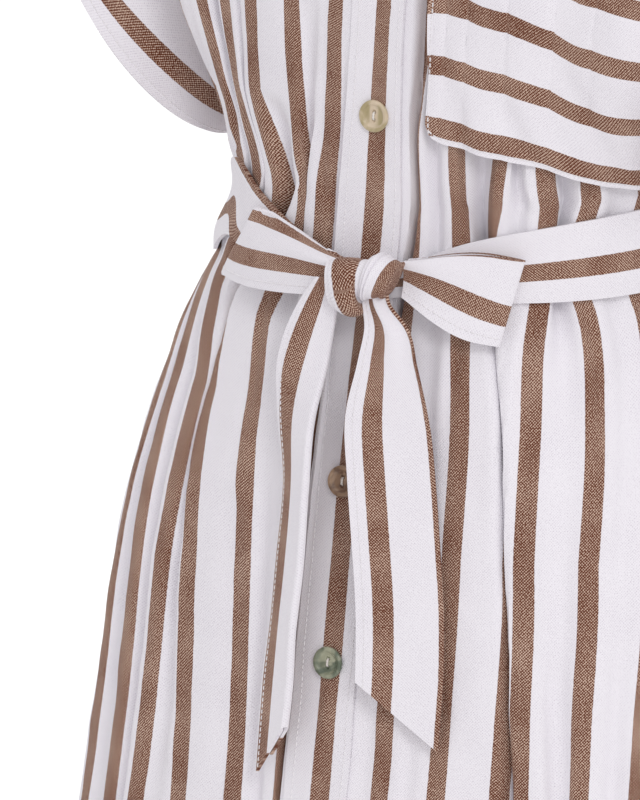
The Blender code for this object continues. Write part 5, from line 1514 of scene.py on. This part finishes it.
class DRESS_OT_fronts(Operator):
    """Make the two fronts, gathered by the belt."""
    bl_idname = "dress.fronts"
    bl_label = "Fronts"

    def execute(self, context):
        cloth = striped_cloth()
        side = side_mitre(ROW_LEVELS)
        across = panel_grid(PLACKET_HALF + FRONTS_GAP, FRONT_COLUMNS)
        points = inset(drifted(panel_surface("front_right", across, ROW_LEVELS))[:, ::-1])
        threads = body_threads(across, ROW_LEVELS[:, None], -1)[:, ::-1]
        right = wall("dress_front_right", points, threads, cloth, mitre=(side, 0, 0, SHOULDER_MITRE))
        across = panel_grid(-PLACKET_HALF, FRONT_COLUMNS + PLACKET_COLUMNS)
        points = inset(left_front_surface(across, ROW_LEVELS))
        threads = body_threads(across, ROW_LEVELS[:, None])
        left = wall("dress_front_left", points, threads, cloth, mitre=(0, side, 0, SHOULDER_MITRE))
        finish_piece(right, "front_right", slot="dress_cloth")
        finish_piece(left, "front_left", slot="dress_cloth")
        for edge, way in (("right", -1), ("left", 1)):
            across = panel_grid(PLACKET_HALF + HEM_STITCH_START, FRONT_COLUMNS)[:1]
            level = HEM + HEM_TURN + 2 * BESIDE
            line = drifted(panel_surface("front_" + edge, across + 0 * level[:, None], level))
            sewn_line("dress_stitches_hem_" + edge, line[1], way * grid_normals(line)[1])
        return {"FINISHED"}


class DRESS_OT_back(Operator):
    """Make the back in one width of cloth."""
    bl_idname = "dress.back"
    bl_label = "Back"

    def execute(self, context):
        across = panel_grid(0.0, BACK_COLUMNS)
        left = panel_surface("back_left", across, ROW_LEVELS)
        right = panel_surface("back_right", across, ROW_LEVELS)
        points = np.concatenate([left[:, :0:-1], right], axis=1)
        left, right = (body_threads(across, ROW_LEVELS[:, None], sign) for sign in (1, -1))
        threads = np.concatenate([left[:, :0:-1], right], axis=1)
        side = side_mitre(ROW_LEVELS)
        mitre = (side, side, 0, SHOULDER_MITRE)
        made = wall("dress_back", inset(points), threads, striped_cloth(), mitre=mitre)
        finish_piece(made, "back", slot="dress_cloth")
        return {"FINISHED"}


class DRESS_OT_placket(Operator):
    """Make the button placket that lies over the centre front."""
    bl_idname = "dress.placket"
    bl_label = "Placket"

    def execute(self, context):
        levels = PLACKET_LEVELS
        across = np.linspace(-PLACKET_HALF - PLACKET_LAP, PLACKET_HALF, PLACKET_COLUMNS)[None]
        across = across + 0 * levels[:, None]
        base = left_front_surface(across, levels)
        normals = grid_normals(base)
        inner = base + SEAM_GAP * normals
        outer = base + (SEAM_GAP + WALL) * normals
        made = wall("dress_placket", outer, body_threads(across, levels[:, None]), striped_cloth(), inner=inner)
        finish_piece(made, "placket", slot="dress_cloth")
        for name, edge in (("right", -PLACKET_HALF + PLACKET_SEAM), ("left", PLACKET_HALF - PLACKET_SEAM)):
            line = left_front_surface(edge + BESIDE + 0 * levels[:, None], levels)
            facing = grid_normals(line)[:, 1]
            sewn_line("dress_stitches_placket_" + name, line[:, 1] + (SEAM_GAP + WALL) * facing, facing)
        return {"FINISHED"}


class DRESS_OT_pocket(Operator):
    """Make the patch pocket, its stripes along its foot."""
    bl_idname = "dress.pocket"
    bl_label = "Pocket"

    def execute(self, context):
        inner, outer, threads = pocket_faces()
        made = wall("dress_pocket", outer, threads, striped_cloth(), inner=inner)
        finish_piece(made, "pocket", slot="pocket_cloth")
        facing = grid_normals(outer)
        seams = {"inner": (slice(None), 1), "foot": (1, slice(1, -1)), "outer": (slice(None), -2)}
        for name, line in seams.items():
            sewn_line("dress_stitches_pocket_" + name, outer[line], facing[line])
        return {"FINISHED"}


class DRESS_OT_sleeves(Operator):
    """Make the two short wide sleeves."""
    bl_idname = "dress.sleeves"
    bl_label = "Sleeves"

    def execute(self, context):
        for name, right in (("sleeve_right", True), ("sleeve_left", False)):
            turns = np.linspace(0.0, 360.0, SLEEVE_COLUMNS, endpoint=False)[None]
            alongs = np.linspace(1.0, 0.0, SLEEVE_ROWS)[:, None]
            grid = sleeve_surface(turns + 0 * alongs, alongs + 0 * turns, right)
            grid[-1] += SEAM_GAP * unit(grid[-2] - grid[-1])
            if not right:
                grid = grid[:, ::-1]
            height = run_lengths(grid)
            ring = run_lengths(np.concatenate([grid[:1], grid[:1, :1]], axis=1), axis=1)
            height = np.concatenate([height, height[:, :1]], axis=1)
            threads = np.stack([height - SLEEVE_STRIPE, ring + 0 * height], axis=-1)
            mitre = (0, 0, 0, ARMHOLE_MITRE)
            made = wall("dress_" + name, grid, threads, striped_cloth(), closed=True, mitre=mitre)
            finish_piece(made, name, slot="dress_cloth")
            facing = grid_normals(grid, closed=True)
            row = np.argmin(np.abs(height[:, 0] - SLEEVE_SEAM))
            sewn_line("dress_stitches_" + name, grid[row], facing[row])
        return {"FINISHED"}


class DRESS_OT_collar(Operator):
    """Make the collar's stand and its fall."""
    bl_idname = "dress.collar"
    bl_label = "Collar"

    def execute(self, context):
        turns = np.linspace(-STAND_LAP, 360.0 + STAND_LAP, COLLAR_COLUMNS)[None]
        rises = np.linspace(0.0, 1.0, STAND_ROWS)[:, None]
        grid = stand_points(turns + 0 * rises, rises + 0 * turns)
        height = rises * STAND_HEIGHT + 0 * turns
        threads = np.stack([height - STAND_STRIPE, run_lengths(grid, axis=1)], axis=-1)
        stand = wall("dress_collar_stand", grid, threads, striped_cloth())
        turns = np.linspace(FALL_SHAPE[0].turn, 360.0 - FALL_SHAPE[0].turn, COLLAR_COLUMNS)[None]
        alongs = np.linspace(1.0, 0.0, FALL_ROWS)[:, None]
        grid = fall_surface(turns + 0 * alongs, alongs + 0 * turns)
        threads = np.stack([run_lengths(grid) - FALL_STRIPE, run_lengths(grid, axis=1)], axis=-1)
        fall = wall("dress_collar_fall", grid, threads, striped_cloth())
        finish_piece(stand, "collar_stand", slot="dress_cloth")
        finish_piece(fall, "collar_fall", slot="dress_cloth")
        return {"FINISHED"}


class DRESS_OT_belt(Operator):
    """Make the belt round the waist."""
    bl_idname = "dress.belt"
    bl_label = "Belt"

    def execute(self, context):
        half_girth = ring_lengths(np.array([WAIST]))[0][0]
        arcs = np.linspace(-half_girth, half_girth, BELT_COLUMNS, endpoint=False)[None]
        v = np.linspace(-0.5, 0.5, BELT_ROWS)[:, None]
        crown = BELT_CROWN * (1 - (2 * v) ** 2)
        arc = arcs + 0 * v
        grid = belt_frame(arc, belt_band(arc, v), belt_out(arc) + BELT_WALL + crown)
        ring = np.concatenate([arc, arc[:, :1] + 2 * half_girth], axis=1)
        scale, middle = BELT_LANE_RIGHT
        below = BELT_WIDTH * (0.5 - v)
        right = scale * below - middle
        turn, over = BELT_LANE_TURN
        right = right + (below - BELT_LANE_SIDE - right) * ramp((-ring - turn) / over)
        rise, end, fall = BELT_LANE_ENDS
        near = ramp(-ring / rise) * ramp((end + ring) / fall)
        threads = np.stack([below - BELT_STRIPE + (right - below + BELT_STRIPE) * near, ring + 0 * v], axis=-1)
        made = wall("dress_belt_band", grid, threads, striped_cloth(), thickness=BELT_WALL, closed=True)
        finish_piece(made, "belt_band", slot="belt_cloth")
        return {"FINISHED"}


class DRESS_OT_bow(Operator):
    """Make the loops of the bow and the knot that holds them."""
    bl_idname = "dress.bow"
    bl_label = "Bow"

    def execute(self, context):
        for loop in LOOPS:
            v = np.linspace(-0.5, 0.5, LOOP_ROWS)[:, None]
            u = np.linspace(0.0, 1.0, LOOP_COLUMNS)[None]
            grid = loop_surface(loop, v + 0 * u, u + 0 * v)
            way = run_lengths(grid, axis=1)
            lanes = np.interp(v, *zip(*LOOP_LANES[loop.name]))
            threads = np.stack([lanes + 0 * way, way], axis=-1)
            if loop.side < 0:
                grid = grid[:, ::-1]
                threads = threads[:, ::-1]
            made = wall("dress_" + loop.name, grid, threads, striped_cloth(), thickness=BELT_END_WALL)
            finish_piece(made, loop.name, slot="belt_cloth")
            facing = grid_normals(grid)
            half = LOOP_COLUMNS // 2
            near = slice(0, half - 1) if loop.side > 0 else slice(half + 1, LOOP_COLUMNS)
            sewn_line("dress_stitches_" + loop.name, grid[LOOP_SEAM_ROW, near], facing[LOOP_SEAM_ROW, near])
        v = np.linspace(-1.0, 1.0, KNOT_RINGS)[:, None]
        turn = np.linspace(0.0, 2 * np.pi, KNOT_STEPS, endpoint=False)[None]
        stripe = table_at(v, KNOT_SHAPE, "stripe", "v")
        threads = np.stack([stripe + 0 * turn, KNOT_LENGTH_HALF * turn / np.pi + 0 * v], axis=-1)
        rings = knot_surface(v + 0 * turn, turn + 0 * v)
        made = capped_tube("dress_belt_knot", rings, striped_cloth(), threads)
        finish_piece(made, "belt_knot", slot="belt_cloth")
        return {"FINISHED"}


class DRESS_OT_tails(Operator):
    """Make the two hanging ends of the belt."""
    bl_idname = "dress.tails"
    bl_label = "Tails"

    def execute(self, context):
        for name, table, long_side in (("tail_right", TAIL_RIGHT, -1), ("tail_left", TAIL_LEFT, 1)):
            folded, near, low, sewn = TAIL_LAYS[name]
            v = np.linspace(-0.5, 0.5, TAIL_COLUMNS)[None]
            foot, point, top = table[-1].z, table[-2].z, table[0].z
            z = spread((foot, point, TAIL_POINT_ROWS), (point, top, TAIL_ROWS))[:, None]
            grid = tail_surface(table, long_side, v + 0 * z, z + 0 * v, folded)
            middle = near + (low - near) * ramp((top - z) / TAIL_STRIPE_FALL)
            threads = np.stack([BELT_WIDTH * (v + 0.5) - middle, run_lengths(grid[::-1])[::-1]], axis=-1)
            made = wall("dress_" + name, grid, threads, striped_cloth(), thickness=BELT_END_WALL)
            finish_piece(made, name, slot="belt_cloth")
            sewn_line("dress_stitches_" + name, grid[:, sewn], grid_normals(grid)[:, TAIL_FACING])
        return {"FINISHED"}


class DRESS_OT_buttons(Operator):
    """Make the ten round shell buttons with two holes and their threads."""
    bl_idname = "dress.buttons"
    bl_label = "Buttons"

    def execute(self, context):
        levels = ROW_LEVELS
        seat = left_front_surface(BESIDE + 0 * levels[:, None], levels)
        seat += (SEAM_GAP + WALL) * grid_normals(seat)
        line = seat[:, 1]
        spots = []
        for i in range(BUTTON_COUNT):
            height = BUTTON_TOP - i * BUTTON_SPACING
            point = np.array([np.interp(height, line[:, 2], line[:, axis]) for axis in range(3)])
            above = height + BUTTON_SLOPE_OVER
            ahead = np.array([np.interp(above, line[:, 2], line[:, axis]) for axis in range(3)])
            spots.append((point, unit(np.cross([1.0, 0.0, 0.0], ahead - point))))
        turns, rises = np.meshgrid(*COLLAR_BUTTON)
        patch = stand_points(turns, rises)
        spots.insert(0, (patch[1, 1], grid_normals(patch)[1, 1]))
        for number, (point, normal) in enumerate(spots):
            name = "button_%02d" % (number + 1)
            points = button_face(point + SEAM_GAP * normal, normal)
            made = capped_tube("dress_" + name, points, shell(number))
            finish_piece(made, name, slot="button_shell")
            thread = button_thread("dress_thread_%02d" % (number + 1), point, normal)
            finish_piece(thread)
        return {"FINISHED"}


class DRESS_OT_stage(Operator):
    """Set up the floor, the backdrop, the lights and the camera."""
    bl_idname = "dress.stage"
    bl_label = "Stage"

    def execute(self, context):
        paint = plain_paint("matt white floor paint", FLOOR_WHITE, 0.8)
        flat = FLOOR_HALF * np.array([[-1, -1], [1, -1], [1, 1], [-1, 1]])
        corners = np.column_stack([flat, np.full(4, FLOOR_Z)])
        floor = make_mesh("floor", corners, np.array([[0, 1, 2, 3]]), paint)
        place_camera()
        hang_lamps()
        world = bpy.data.worlds.new("soft studio light")
        world.use_nodes = True
        studio_sky(world.node_tree)
        bpy.context.scene.world = world
        bpy.context.scene.view_settings.view_transform = "Standard"
        return {"FINISHED"}


class DRESS_PT_pieces(Panel):
    """Lists the steps that make the dress"""
    bl_idname = "DRESS_PT_pieces"
    bl_label = "Striped Shirt Dress"
    bl_space_type = "VIEW_3D"
    bl_region_type = "UI"
    bl_category = "Dress"

    def draw(self, context):
        scene = context.scene
        for group, kind in ((scene.dress_sizes, DressSizes), (scene.dress_colours, DressColours)):
            for name in kind.__annotations__:
                self.layout.prop(group, name)
        for step in STEPS:
            self.layout.operator(step.bl_idname)


STEPS = (
    DRESS_OT_fronts, DRESS_OT_back, DRESS_OT_placket, DRESS_OT_pocket, DRESS_OT_sleeves, DRESS_OT_collar,
    DRESS_OT_buttons, DRESS_OT_belt, DRESS_OT_bow, DRESS_OT_tails, DRESS_OT_stage,
)
CLASSES = (DressSizes, DressColours) + STEPS + (DRESS_PT_pieces,)


def register():
    for each in CLASSES:
        bpy.utils.register_class(each)
    bpy.types.Scene.dress_sizes = PointerProperty(type=DressSizes)
    bpy.types.Scene.dress_colours = PointerProperty(type=DressColours)


def unregister():
    del bpy.types.Scene.dress_sizes
    del bpy.types.Scene.dress_colours
    for each in reversed(CLASSES):
        bpy.utils.unregister_class(each)


def main():
    """Make every piece."""
    register()
    for step in STEPS:
        group, name = step.bl_idname.split(".")
        getattr(getattr(bpy.ops, group), name)()


if __name__ == "__main__":
    main()
